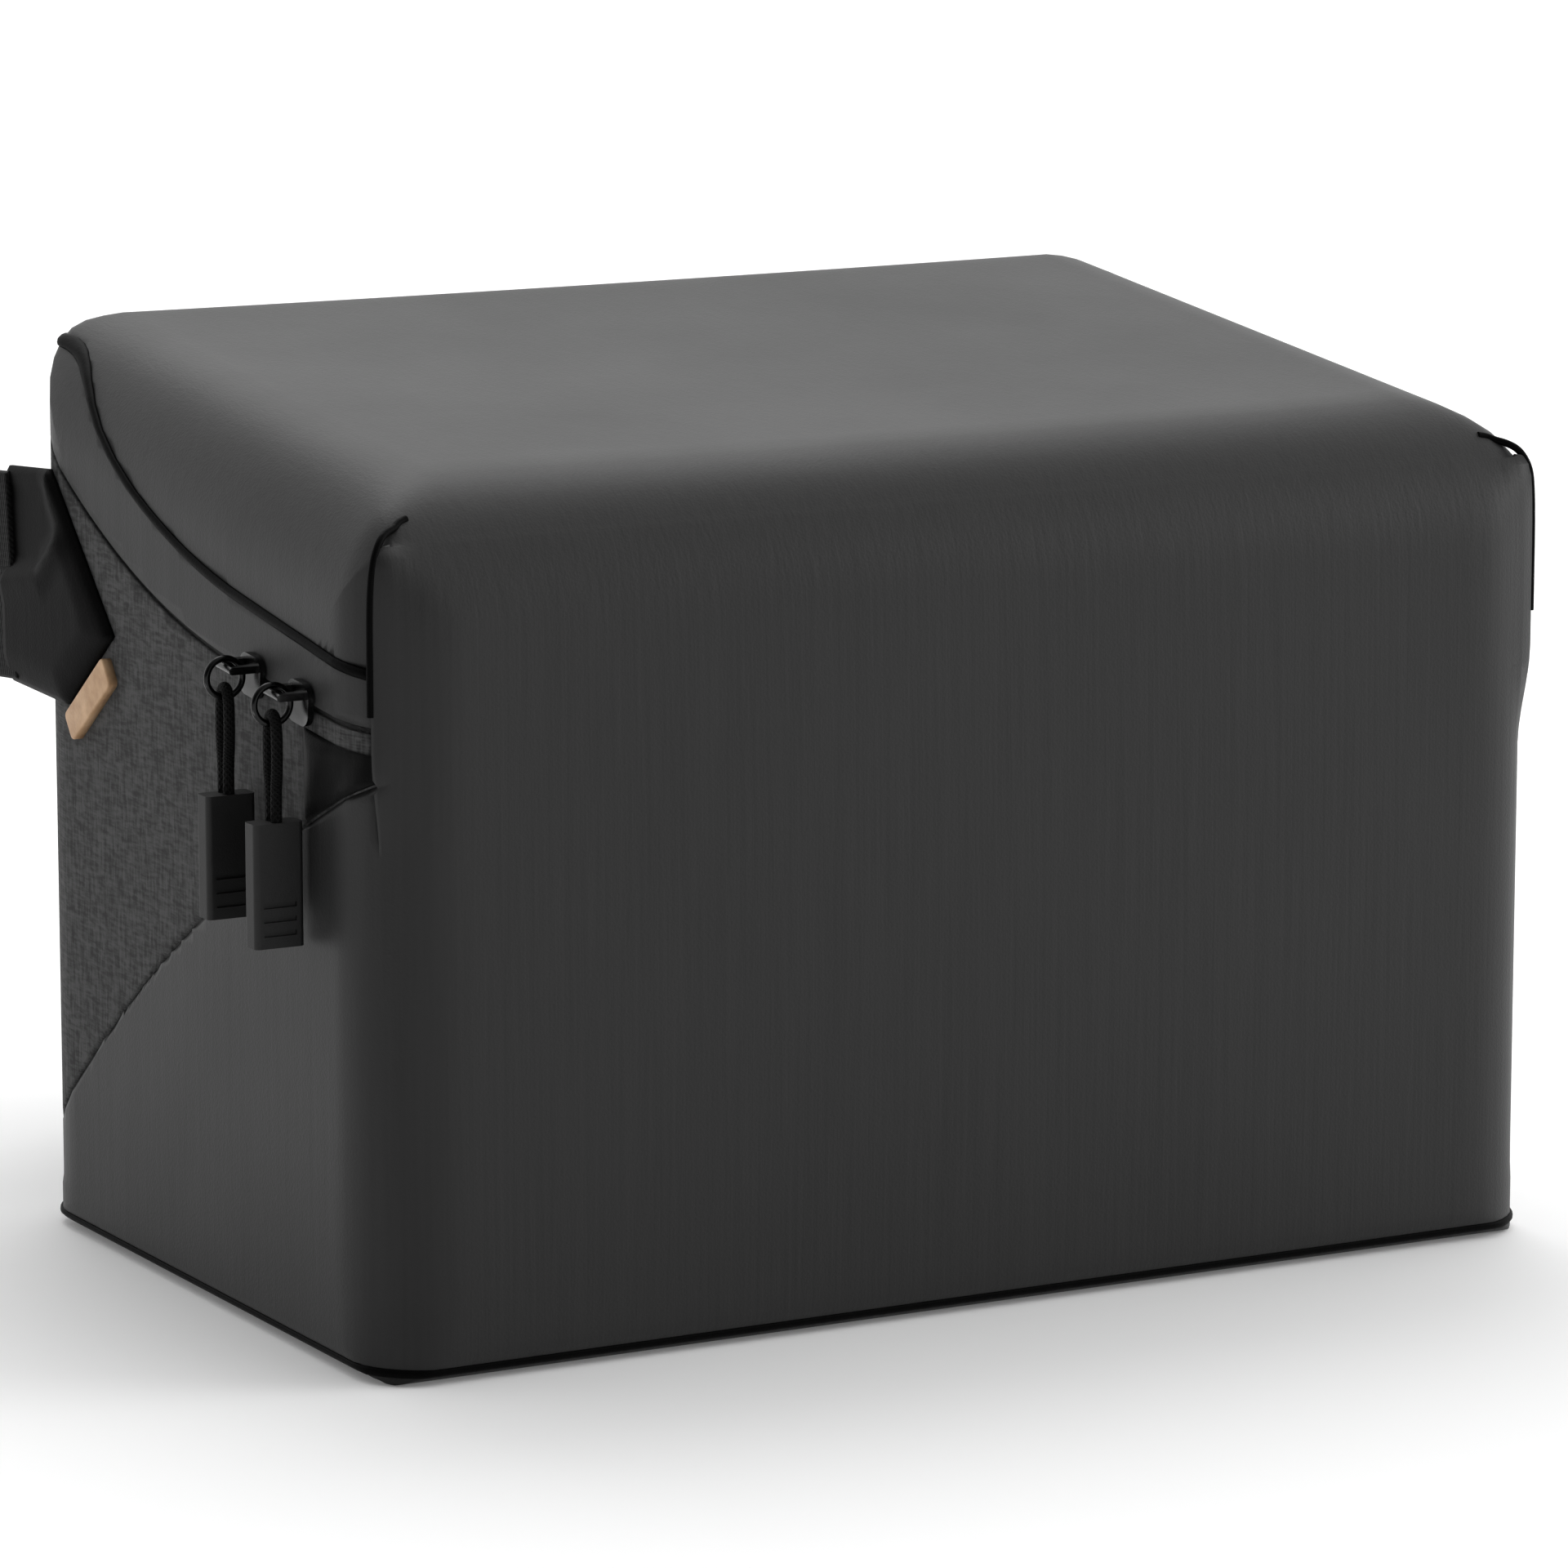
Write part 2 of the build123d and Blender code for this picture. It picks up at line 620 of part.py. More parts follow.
def looped_end(start_x, tail_x, bar_side):
    """Side outline of webbing that runs to the ring, round its bar and back underneath."""
    turn_x = ring_x + bar_side * (RING_LENGTH / 2 - FITTING_BAR - STRAP_CLEAR)
    top = upper_z + STRAP / 2
    inner_x = turn_x
    outer_x = turn_x - bar_side * STRAP
    return Polyline(
        (start_x, top), (outer_x, top), (outer_x, 0), (tail_x, 0), (tail_x, STRAP),
        (inner_x, STRAP), (inner_x, top - STRAP), (start_x, top - STRAP), close=True,
    )


for name, sense, fall, tail in (
    ("left", -1, LEFT_FALL, -LEFT_TAIL),
    ("right", 1, RIGHT_FALL, RIGHT_TAIL),
):
    sections = hanging_webbing(fall, sense)
    with BuildPart() as strap:
        for pair in zip(sections, sections[1:]):
            loft(pair, ruled=True)
        floor_x = sense * (anchor_x - fall[-1][0])
        tail_x = ring_x + tail
        run_edge = Plane(origin=(0, run_y + STRAP_WIDTH / 2, 0), x_dir=(1, 0, 0), z_dir=(0, -1, 0))
        with BuildSketch(run_edge):
            with BuildLine():
                looped_end(floor_x, tail_x, sense)
            make_face()
        extrude(amount=STRAP_WIDTH)
    keep(strap, f"strap_{name}")

bar_z = STRAP + STRAP_CLEAR + FITTING / 2
opening_y = STRAP_WIDTH + 2 * RING_SIDE_GAP
with BuildPart() as square_ring:
    with BuildSketch(Plane.XY.offset(bar_z - FITTING / 2)):
        with Locations((ring_x, run_y)):
            RectangleRounded(RING_LENGTH, opening_y + 2 * FITTING_BAR, FITTING_BAR)
            Rectangle(RING_LENGTH - 2 * FITTING_BAR, opening_y, mode=Mode.SUBTRACT)
    extrude(amount=FITTING)
keep(square_ring, "square_ring")

keeper_z = upper_z + STRAP / 2 + STRAP_CLEAR + FITTING / 2
rail_y = (opening_y + FITTING_BAR) / 2
with BuildPart() as strap_adjuster:
    with Locations((adjuster_x, run_y, bar_z)):
        Box(FITTING_BAR, opening_y + 2 * FITTING_BAR, FITTING)
    for end in (-1, 1):
        with Locations((adjuster_x + end * (ADJUSTER_LENGTH - FITTING_BAR) / 2, run_y, keeper_z)):
            Box(FITTING_BAR, opening_y + 2 * FITTING_BAR, FITTING)
        with Locations((adjuster_x, run_y + end * rail_y, (bar_z + keeper_z) / 2)):
            Box(ADJUSTER_LENGTH, FITTING_BAR, keeper_z - bar_z + FITTING)
keep(strap_adjuster, "strap_adjuster")

# ---- dividers ---------------------------------------------------------------------
inner_form = envelope(WALL + DIVIDER_CLEAR)
for name, sense in SIDES.items():
    x = sense * DIVIDER_X
    edge_y = DEPTH / 2 - WALL - DIVIDER_CLEAR - HOOK_STRIP
    with BuildPart() as divider:
        add(block((x - DIVIDER / 2, -edge_y, 0), (x + DIVIDER / 2, edge_y, DIVIDER_TOP)))
        add(inner_form, mode=Mode.INTERSECT)
    keep(divider, f"divider_{name}")
    with BuildPart() as hook_strips:
        for end in (-1, 1):
            with Locations((x, end * (edge_y + HOOK_STRIP / 2), DIVIDER_TOP - HOOK_STRIP_HEIGHT / 2)):
                Box(HOOK_STRIP_WIDTH, HOOK_STRIP, HOOK_STRIP_HEIGHT)
    keep(hook_strips, f"divider_hooks_{name}")

os.makedirs("parts", exist_ok=True)
for name, part in finished:
    export_step(part, f"parts/{name}.step")
print(len(finished), "nodes")
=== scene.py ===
# %% [markdown]
# # A zipped, fire-lined battery bag
#
# This lesson builds the looks of a soft bag around a finished CAD model. The CAD model is the
# frame: it says where every piece is, what moves, and about which axis. Blender adds what CAD is
# poor at, which is cloth that rolls over corners, seams that pull in, webbing that twists, and
# materials. Every length is in metres, and Z is up.

# %% Load the frame
import json
from math import atan2, cos, hypot, pi, radians, sin, sqrt, tan, tau

import bmesh
import bpy
from mathutils import Matrix, Vector
from mathutils.bvhtree import BVHTree


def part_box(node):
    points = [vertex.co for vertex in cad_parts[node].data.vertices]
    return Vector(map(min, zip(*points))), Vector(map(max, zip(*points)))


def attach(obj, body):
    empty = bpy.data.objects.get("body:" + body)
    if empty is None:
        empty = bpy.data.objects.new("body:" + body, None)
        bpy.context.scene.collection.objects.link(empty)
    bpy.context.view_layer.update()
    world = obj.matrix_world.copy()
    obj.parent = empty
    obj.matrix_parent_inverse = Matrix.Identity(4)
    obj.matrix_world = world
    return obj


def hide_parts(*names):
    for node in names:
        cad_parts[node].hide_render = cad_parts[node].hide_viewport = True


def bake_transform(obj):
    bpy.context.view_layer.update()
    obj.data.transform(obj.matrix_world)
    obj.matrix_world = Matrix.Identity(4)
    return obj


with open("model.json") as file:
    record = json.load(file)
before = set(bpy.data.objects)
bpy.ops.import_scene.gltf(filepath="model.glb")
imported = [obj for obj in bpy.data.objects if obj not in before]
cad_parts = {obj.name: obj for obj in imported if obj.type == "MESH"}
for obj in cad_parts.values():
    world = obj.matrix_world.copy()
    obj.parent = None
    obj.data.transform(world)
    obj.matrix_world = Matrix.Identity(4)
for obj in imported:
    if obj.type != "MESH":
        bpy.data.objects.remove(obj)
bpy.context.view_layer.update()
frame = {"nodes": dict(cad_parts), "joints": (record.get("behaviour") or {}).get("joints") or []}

# %% [markdown]
# ## The sizes that everything follows
#
# The overall sizes come from the frame, so the looks follow if the CAD model is changed. The radii
# of the rolls and the thickness of each layer are the pattern maker's own numbers, written once.

# %% Overall sizes, from the frame
MM = 0.001
SIDES = (("left", -1), ("right", 1))
lid_low, lid_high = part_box("lid_cover")
fold = next(joint for joint in frame["joints"] if joint["name"] == "lid_fold")
HALF_W = lid_high[0]
FRONT_Y = lid_low[1]
BACK_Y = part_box("lid_band")[1][1]
TOP_Z = lid_high[2]
HINGE_Z = fold["pos_m"][2]
print("bag is", round(2 * HALF_W, 4), "x", round(BACK_Y - FRONT_Y, 4), "x", round(TOP_Z, 4))

# %% Sizes of the pattern
LID_DROP = 51.0 * MM            # the fold lies this far below the front edge of the lid
FRONT_Z = HINGE_Z + LID_DROP
TOP_RISE = 21.8 * MM            # the lid rises this much from front to back
FRONT_CORNER_R = 20.0 * MM
BACK_CORNER_R = 30.0 * MM
SHOULDER_R = 26.0 * MM
BASE_EDGE_R = 7.0 * MM
FRONT_TOP_R = 35.0 * MM
BACK_TOP_R = 10.0 * MM
FRONT_BOTTOM_R = 8.0 * MM
BACK_BOTTOM_R = 28.0 * MM
SKIN = 1.0 * MM                 # outer fabric
PAD = 6.0 * MM                  # closed-cell foam board
LINER = 0.8 * MM                # fire-resistant lining
WALL = SKIN + PAD + LINER
BASE_SEAM_Z = 3.0 * MM
DART_Y = FRONT_Y + 8.0 * MM     # upright seam at the lid's front corners

# %% [markdown]
# ## Camera
#
# A long lens from a few metres away keeps the upright edges of a small bag nearly parallel, as in
# a catalogue picture. The camera is placed on a sphere round the bag by its azimuth and elevation,
# which is easier to reason about than three coordinates.

# %% Helper that puts an object in the scene
def put_in_scene(name, data):
    """An object with this data, linked to the scene."""
    made = bpy.data.objects.new(name, data)
    bpy.context.scene.collection.objects.link(made)
    return made


# %% Camera
CAMERA_AZIMUTH = radians(-28.84)
CAMERA_ELEVATION = radians(10.67)
CAMERA_DISTANCE = 1.764
CAMERA_TARGET = Vector((0.0017, 0.0, 0.1021))
CAMERA_LENS = 169.6             # millimetres, as Blender's camera has it
CAMERA_SENSOR = 36.0
CAMERA_SHIFT = 0.012            # share of the picture that the view is moved up by

camera_data = bpy.data.cameras.new("catalogue_camera")
camera_data.lens = CAMERA_LENS
camera_data.sensor_width = CAMERA_SENSOR
camera_data.shift_y = CAMERA_SHIFT
camera_data.clip_end = 20.0
camera = put_in_scene("catalogue_camera", camera_data)
away = Vector((sin(CAMERA_AZIMUTH) * cos(CAMERA_ELEVATION),
               -cos(CAMERA_AZIMUTH) * cos(CAMERA_ELEVATION), sin(CAMERA_ELEVATION)))
camera.location = CAMERA_TARGET + away * CAMERA_DISTANCE
camera.rotation_euler = (-away).to_track_quat("-Z", "Y").to_euler()
bpy.context.scene.camera = camera
print("camera at", [round(c, 3) for c in camera.location])

# %% [markdown]
# ## The two pull cords
#
# Each zip slider carries a ring, and a short soft cord is folded over the ring and moulded into a
# rubber tab. A cord is best made as a curve with a round bevel: the control points give the route,
# and a NURBS spline smooths it. The order is set after the points are added, because before that
# the spline has too few points to take it. The points go up one leg, over the ring and down. The
# bevel is one unit deep and each point's own radius shrinks it to the radius of the cord.

# %% Helpers for curves
def curve_piece(name, points, radius):
    """A round cord along a list of points, as a smooth NURBS curve."""
    data = bpy.data.curves.new(name, "CURVE")
    data.dimensions = "3D"
    data.bevel_depth = 1.0
    data.bevel_resolution = 5
    data.resolution_u = 12
    data.use_fill_caps = True
    spline = data.splines.new("NURBS")
    spline.points.add(len(points) - 1)
    for control, point in zip(spline.points, points):
        control.co = (*point, 1.0)
        control.radius = radius
    spline.order_u = 3
    spline.use_endpoint_u = True
    return put_in_scene(name, data)


# %% Pull cords
CORD_D = 2.6 * MM
CORD_X = HALF_W + 8.0 * MM
CORD_LEG = ((1.4, 0.0), (1.4, 7.0), (2.25, 11.95), (2.15, 23.89))   # across, above the tab
CORD_FOOT = {"rear": (-39.224, 125.69), "front": (-64.224, 123.44)}  # middle of the fold, tab top

cords = {}
for name, (middle_y, tab_top) in CORD_FOOT.items():
    up = [(-CORD_X, (middle_y - across) * MM, (tab_top + above) * MM) for across, above in CORD_LEG]
    down = [(-CORD_X, (middle_y + across) * MM, (tab_top + above) * MM)
            for across, above in reversed(CORD_LEG)]
    cord = curve_piece(f"cord_{name}", up + down, CORD_D / 2)
    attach(cord, f"pull_{name}")
    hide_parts(f"pull_cord_{name}")
    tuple(up[0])
    cords[name] = cord
    print(cord.name, "leaves its tab at", [round(c, 4) for c in up[0]])

# %% [markdown]
# ## The closed form of the bag
#
# Every cloth piece of the bag is cut from one closed form, as a sewn bag is stretched over a block.
# The form starts as the outline of the side view: a four-sided face whose corners are rounded with
# bevels. The outline is extruded across the width as a row of hoops. At each end the hoops roll
# over onto the flat side and shrink to its middle. The radius of the roll differs at the front, the
# top, the back and the base, so each point of the outline stores its own. Hoops keep the mesh even,
# and an even mesh can be cut anywhere without leaving long thin faces.

# %% The outline of the side view
GRID = 4.0 * MM                 # size of a face of the form
CORNER_CUTS = 9                 # faces round a corner
CAP_RINGS = 24                  # rings from the edge of a side to its middle
MIN_R = 1.0 * MM
TOP_DIP = 2.4 * MM
DIP_DEPTH = 45.0 * MM           # the dip fades out this far below the lid's front edge
DIP_MIDDLE_Y = 8.0 * MM
DIP_REACH = 94.0 * MM
FRONT_CROWN = 1.8 * MM
CROWN_MIDDLE_Z = 85.0 * MM
CROWN_REACH = 80.0 * MM
SOFTENINGS = 3                  # how often the rolls are smoothed, as cloth rounds off a block


def ease(t):
    """From 0 to 1, slow at both ends."""
    t = min(max(t, 0.0), 1.0)
    return t * t * (3 - 2 * t)


def top_of(y, inset=0.0):
    """Height of the lid's sloping top."""
    return FRONT_Z - inset + TOP_RISE * (y - FRONT_Y) / (BACK_Y - FRONT_Y)


def side_outline(bm, inset):
    """The rounded outline of the side view, as one face in the plane across the middle."""
    corners = (
        (FRONT_Y + inset, inset, FRONT_BOTTOM_R), (BACK_Y - inset, inset, BACK_BOTTOM_R),
        (BACK_Y - inset, top_of(BACK_Y, inset), BACK_TOP_R),
        (FRONT_Y + inset, top_of(FRONT_Y, inset), FRONT_TOP_R),
    )
    verts = [bm.verts.new((0, y, z)) for y, z, _ in corners]
    bm.faces.new(verts)
    places = [vert.co.copy() for vert in verts]
    for index, vert in enumerate(verts):
        into = places[index] - places[index - 1]
        out = places[(index + 1) % len(places)] - places[index]
        radius = max(corners[index][2] - inset, MIN_R)
        bmesh.ops.bevel(bm, geom=[vert], offset=radius * tan(into.angle(out) / 2), offset_type="OFFSET",
                        segments=CORNER_CUTS, profile=0.5, affect="VERTICES", material=-1)
    for edge in list(bm.edges):
        cuts = int(edge.calc_length() / GRID)
        if cuts:
            bmesh.ops.subdivide_edges(bm, edges=[edge], cuts=cuts)


def roll_radius(inward):
    """The radius of the roll between this part of the outline and the side of the bag."""
    weights = (
        (max(inward.y, 0), FRONT_CORNER_R), (max(-inward.y, 0), BACK_CORNER_R),
        (max(-inward.z, 0), SHOULDER_R), (max(inward.z, 0) ** 3, BASE_EDGE_R),
    )
    return sum(w * w * radius for w, radius in weights) / sum(w * w for w, _ in weights)


# %% The form, hoop by hoop
def next_hoop(bm, edges):
    """Extrudes a row of edges, and gives the new edges and their points, which aren't moved yet."""
    made = bmesh.ops.extrude_edge_only(bm, edges=edges)["geom"]
    return ([e for e in made if isinstance(e, bmesh.types.BMEdge)],
            [v for v in made if isinstance(v, bmesh.types.BMVert)])


def rolled_in(home, inset, share):
    """Where a point of the outline lies in the side view, when the rolls have drawn in by a share."""
    y = min(max(home.y, FRONT_Y + inset + (FRONT_CORNER_R - inset) * share),
            BACK_Y - inset - (BACK_CORNER_R - inset) * share)
    z = min(max(home.z, inset + max(BASE_EDGE_R - inset, MIN_R) * share),
            top_of(y, inset) - (SHOULDER_R - inset) * share)
    return y, z


def within_plan(x, y, inset):
    """Draws x in to the rounded corners of the bag seen from above."""
    front, back = FRONT_CORNER_R - inset, BACK_CORNER_R - inset
    half_w = HALF_W - inset
    past_front = min(max(FRONT_Y + FRONT_CORNER_R - y, 0), front)
    past_back = min(max(y - BACK_Y + BACK_CORNER_R, 0), back)
    return min(x, half_w - front + sqrt(front * front - past_front * past_front),
               half_w - back + sqrt(back * back - past_back * past_back))


def hump(place, middle, reach):
    """1 in the middle, falling to 0 at this reach on each side."""
    return max(1 - ((place - middle) / reach) ** 2, 0)


def settle(bm):
    """The top dips a little between its shoulders, and the front is slightly crowned."""
    for vert in bm.verts:
        p = vert.co
        across = hump(p.x, 0, HALF_W - FRONT_CORNER_R)
        if p.z > FRONT_Z - DIP_DEPTH and p.y > FRONT_Y + 14 * MM:
            low_down = ease((p.z - FRONT_Z + DIP_DEPTH) / DIP_DEPTH)
            p.z -= TOP_DIP * across * hump(p.y, DIP_MIDDLE_Y, DIP_REACH) * low_down
        if p.y < FRONT_Y + 10 * MM:
            p.y -= FRONT_CROWN * across * hump(p.z, CROWN_MIDDLE_Z, CROWN_REACH)


def bag_form(inset):
    """The closed form of the bag, drawn in all round by inset."""
    bm = bmesh.new()
    side_outline(bm, inset)
    home = bm.verts.layers.float_vector.new("home")
    roll = bm.verts.layers.float.new("roll")
    face = bm.faces[:][0]
    ring = list(face.verts)
    middle = Vector((0, (FRONT_Y + BACK_Y) / 2, FRONT_Z / 2))
    for index, vert in enumerate(ring):
        along = ring[(index + 1) % len(ring)].co - ring[index - 1].co
        normal = Vector((0, along.z, -along.y)).normalized()
        if normal.dot(middle - vert.co) < 0:
            normal.negate()
        vert[home] = vert.co
        vert[roll] = max(roll_radius(normal) - inset, MIN_R)
    bmesh.ops.delete(bm, geom=[face], context="FACES_ONLY")

    half_w = HALF_W - inset
    flat = half_w - BACK_CORNER_R
    hoop = list(bm.edges)
    soft = []

    def grow(edges, place):
        """Extrudes one more hoop and puts each of its points where place says."""
        edges, verts = next_hoop(bm, edges)
        for vert in verts:
            vert.co = place(vert)
        return edges, verts

    def hoop_point(vert, side, x, share):
        """A point of a hoop at x, with the rolls drawn in by a share."""
        y, z = rolled_in(vert[home], inset, share)
        return Vector((side * within_plan(x, y, inset), y, z))

    for side in (-1, 1):
        edges = hoop
        steps = round(flat / GRID)
        for step in range(1, steps + 1):
            edges, _ = grow(edges, lambda v: hoop_point(v, side, flat * step / steps, 0))
        for step in range(1, 3):
            edges, _ = grow(edges, lambda v: hoop_point(
                v, side, flat + (BACK_CORNER_R - v[roll]) * step / 2, 0))
        for step in range(1, CORNER_CUTS + 1):
            turn = pi / 2 * step / CORNER_CUTS
            edges, verts = grow(edges, lambda v: hoop_point(
                v, side, half_w - v[roll] * (1 - sin(turn)), 1 - cos(turn)))
            soft += verts if step < CORNER_CUTS else []
        for ring_number in range(1, CAP_RINGS):
            share = 1 - ring_number / CAP_RINGS
            edges, _ = grow(edges, lambda v: Vector((
                side * half_w, *(middle.yz + (Vector(rolled_in(v[home], inset, 1)) - middle.yz) * share))))
        bmesh.ops.edgeloop_fill(bm, edges=edges)
    soft = [v for v in soft if v.co.z > inset + 12 * MM]
    for _ in range(SOFTENINGS):
        bmesh.ops.smooth_vert(bm, verts=soft, factor=0.5, use_axis_x=True, use_axis_y=True, use_axis_z=True)
    bmesh.ops.remove_doubles(bm, verts=bm.verts[:], dist=0.05 * MM)
    bmesh.ops.recalc_face_normals(bm, faces=bm.faces[:])
    settle(bm)
    return bm


trial = bag_form(0)
print("form:", len(trial.verts), "points,", round(trial.calc_volume() * 1000, 2), "litres")
trial.free()

# %% [markdown]
# ## Lines across the side, and how the form is cut along them
#
# The seams are drawn in the side view: each is a height for every distance from front to back. The
# bisect operator only cuts along a flat plane, so a curved seam takes a small trick: every point
# is lowered by the height of the line at its place, which makes the line flat, the form is cut
# with one level plane, and every point goes back up. The cut then follows the curve exactly.

# %% Seam lines of the side view
def straight_then_arc(start, slope, run, end):
    """Height of a straight run and a tangent arc, as a function of y."""
    bend_y, bend_z = start[0] + run, start[1] + slope * run
    length = hypot(1, slope)
    dy, dz = end[0] - bend_y, end[1] - bend_z
    radius = (dy * dy + dz * dz) / (2 * (dz - slope * dy) / length)
    centre_y, centre_z = bend_y - radius * slope / length, bend_z + radius / length

    def height(y):
        if y <= bend_y:
            return start[1] + slope * (y - start[0])
        inside = min(y, end[0])
        drop = sqrt(radius * radius - (inside - centre_y) ** 2)
        return centre_z - drop + (inside - centre_y) / drop * (y - inside)
    return height


def levelled(line, level, bend):
    """A line that runs smoothly into a level one, over a bend of this height."""
    def height(y):
        rise = line(y)
        overlap = max(bend - abs(rise - level), 0) / bend
        return min(rise, level) - overlap * overlap * bend / 4
    return height


BACK_TOP_Z = FRONT_Z + TOP_RISE
ZIP_SLOPE, ZIP_STRAIGHT = 0.09, 68.0 * MM           # the straight run at the front, before the arc
PIPING_SLOPE, PIPING_STRAIGHT = 0.15, 70.0 * MM
PIPING_ABOVE_ZIP = 11.3 * MM                        # at the front
ZIP_BACK_Z = BACK_TOP_Z - 14 * MM
PIPING_BACK_Z = BACK_TOP_Z - 7 * MM
zip_line = levelled(
    straight_then_arc((FRONT_Y, HINGE_Z), ZIP_SLOPE, ZIP_STRAIGHT, (BACK_Y, ZIP_BACK_Z)),
    ZIP_BACK_Z, 2 * MM)
piping_line = levelled(
    straight_then_arc((FRONT_Y, HINGE_Z + PIPING_ABOVE_ZIP), PIPING_SLOPE, PIPING_STRAIGHT,
                      (BACK_Y - 27 * MM, PIPING_BACK_Z - 1 * MM)),
    PIPING_BACK_Z, 12 * MM)
COVER_SEAM = ((FRONT_Y, 138 * MM), (FRONT_Y + 91.5 * MM, 91.6 * MM), (FRONT_Y + 174 * MM, 32 * MM))


def arc_through(first, second, third):
    """Height of the arc through three points, and of its tangent beyond the last."""
    (ax, az), (bx, bz), (cx, cz) = first, second, third
    twice = 2 * (ax * (bz - cz) + bx * (cz - az) + cx * (az - bz))
    a2, b2, c2 = ax * ax + az * az, bx * bx + bz * bz, cx * cx + cz * cz
    my = (a2 * (bz - cz) + b2 * (cz - az) + c2 * (az - bz)) / twice
    mz = (a2 * (cx - bx) + b2 * (ax - cx) + c2 * (bx - ax)) / twice
    radius = hypot(ax - my, az - mz)
    sign = 1 if bz > mz else -1

    def height(y):
        inside = max(min(y, cx), ax)
        z = mz + sign * sqrt(radius * radius - (inside - my) ** 2)
        slope = -sign * (inside - my) / sqrt(radius * radius - (inside - my) ** 2)
        return z + slope * (y - inside)
    return height


seam_line = arc_through(*COVER_SEAM)
print("zip rises to", round(zip_line(BACK_Y), 4), "piping to", round(piping_line(BACK_Y), 4),
      "seam falls to", round(seam_line(COVER_SEAM[2][0]), 4))


# %% Helpers that cut the form
def slice_along(bm, line, offset=0.0, where=None):
    """Adds edges where the form crosses a line of the side view."""
    for vert in bm.verts:
        vert.co.z -= line(vert.co.y)
    faces = [f for f in bm.faces if where is None or where(f.calc_center_median())]
    edges = {e for f in faces for e in f.edges}
    verts = {v for f in faces for v in f.verts}
    bmesh.ops.bisect_plane(bm, geom=[*verts, *edges, *faces], dist=0.02 * MM,
                           plane_co=(0, 0, offset), plane_no=(0, 0, 1))
    for vert in bm.verts:
        vert.co.z += line(vert.co.y)


def slice_flat(bm, point, normal):
    """Adds edges where the form crosses a flat plane."""
    bmesh.ops.bisect_plane(bm, geom=[*bm.verts, *bm.edges, *bm.faces], dist=0.02 * MM,
                           plane_co=point, plane_no=normal)


def keep_faces(bm, test):
    """Deletes every face whose middle fails the test."""
    gone = [f for f in bm.faces if not test(f.calc_center_median())]
    bmesh.ops.delete(bm, geom=gone, context="FACES")


def piece_of(name, bm, body, material=None, replaces=()):
    """Turns a bmesh into a named piece that rides on a body."""
    mesh = bpy.data.meshes.new(name)
    bm.to_mesh(mesh)
    bm.free()
    for layer in ("home", "roll"):
        if layer in mesh.attributes:
            mesh.attributes.remove(mesh.attributes[layer])
    mesh.polygons.foreach_set("use_smooth", [True] * len(mesh.polygons))
    piece = put_in_scene(name, mesh)
    if material:
        mesh.materials.append(material)
    if body:
        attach(piece, body)
    if replaces:
        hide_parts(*replaces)
    print(name, "has", len(mesh.polygons), "faces")
    return piece


def thicken(piece, thickness, edge_r=0.0):
    """Gives a sheet its thickness, inwards from its outer face, and softens its edges."""
    solid = piece.modifiers.new("thickness", "SOLIDIFY")
    solid.thickness = thickness
    solid.offset = -1
    solid.use_even_offset = False
    if edge_r:
        soft = piece.modifiers.new("soft_edges", "BEVEL")
        soft.width = edge_r
        soft.segments = 2
        soft.limit_method = "ANGLE"
        soft.angle_limit = radians(50)
        soft.harden_normals = False
    return piece


# %% The outer form, cut once along every seam
TEETH_GAP = 2.4 * MM
SEAM_SINK = 0.7 * MM            # a seam draws the cloth in by this much
SEAM_REACH = 1.6 * MM           # over this distance on each side
BAND_LOW = TEETH_GAP / 2 - 0.9 * MM     # the band's lower edge, above the zip line

outer = bag_form(0)
for line, offset in ((zip_line, -TEETH_GAP / 2), (zip_line, BAND_LOW), (piping_line, 0), (seam_line, 0),
                     (seam_line, SEAM_REACH), (seam_line, -SEAM_REACH)):
    slice_along(outer, line, offset, lambda p: p.y > FRONT_Y + 2 * MM)
slice_flat(outer, (0, 0, BASE_SEAM_Z), (0, 0, 1))
slice_flat(outer, (0, DART_Y, 0), (0, 1, 0))
for side in (-1, 1):
    slice_flat(outer, (side * (HALF_W - BACK_CORNER_R), 0, 0), (1, 0, 0))
print("outer form cut into", len(outer.faces), "faces")

# %% [markdown]
# ## Materials
#
# No picture is used: every finish is worked out from the place on the piece. Effects that several
# finishes share, a plain weave and a soft mottle, are node groups. A group only puts out numbers
# that change over the surface, and each material keeps its own Principled shader, on which the
# values that are the same everywhere are set directly.

# %% Helpers for node trees
def wire(tree, source, target):
    tree.links.new(source, target)


def add_node(tree, kind, **values):
    """A node with its properties set by name and its inputs by socket name."""
    node = tree.nodes.new(kind)
    for name, value in values.items():
        if hasattr(node, name) and name not in node.inputs:
            setattr(node, name, value)
        else:
            node.inputs[name.replace("_", " ")].default_value = value
    return node


def math_node(tree, operation, first, second=None):
    """A Math node whose inputs are numbers or sockets."""
    node = tree.nodes.new("ShaderNodeMath")
    node.operation = operation
    for socket, value in zip(node.inputs, (first, second)):
        if isinstance(value, bpy.types.NodeSocket):
            wire(tree, value, socket)
        elif value is not None:
            socket.default_value = value
    return node.outputs[0]


def mixed(tree, first, first_share, second, second_share):
    """Two values, each times its share, added up."""
    return math_node(tree, "ADD", math_node(tree, "MULTIPLY", first, first_share),
                     math_node(tree, "MULTIPLY", second, second_share))


def wave(tree, turns):
    """A sine that goes round once for each turn."""
    return math_node(tree, "SINE", math_node(tree, "MULTIPLY", turns, tau))


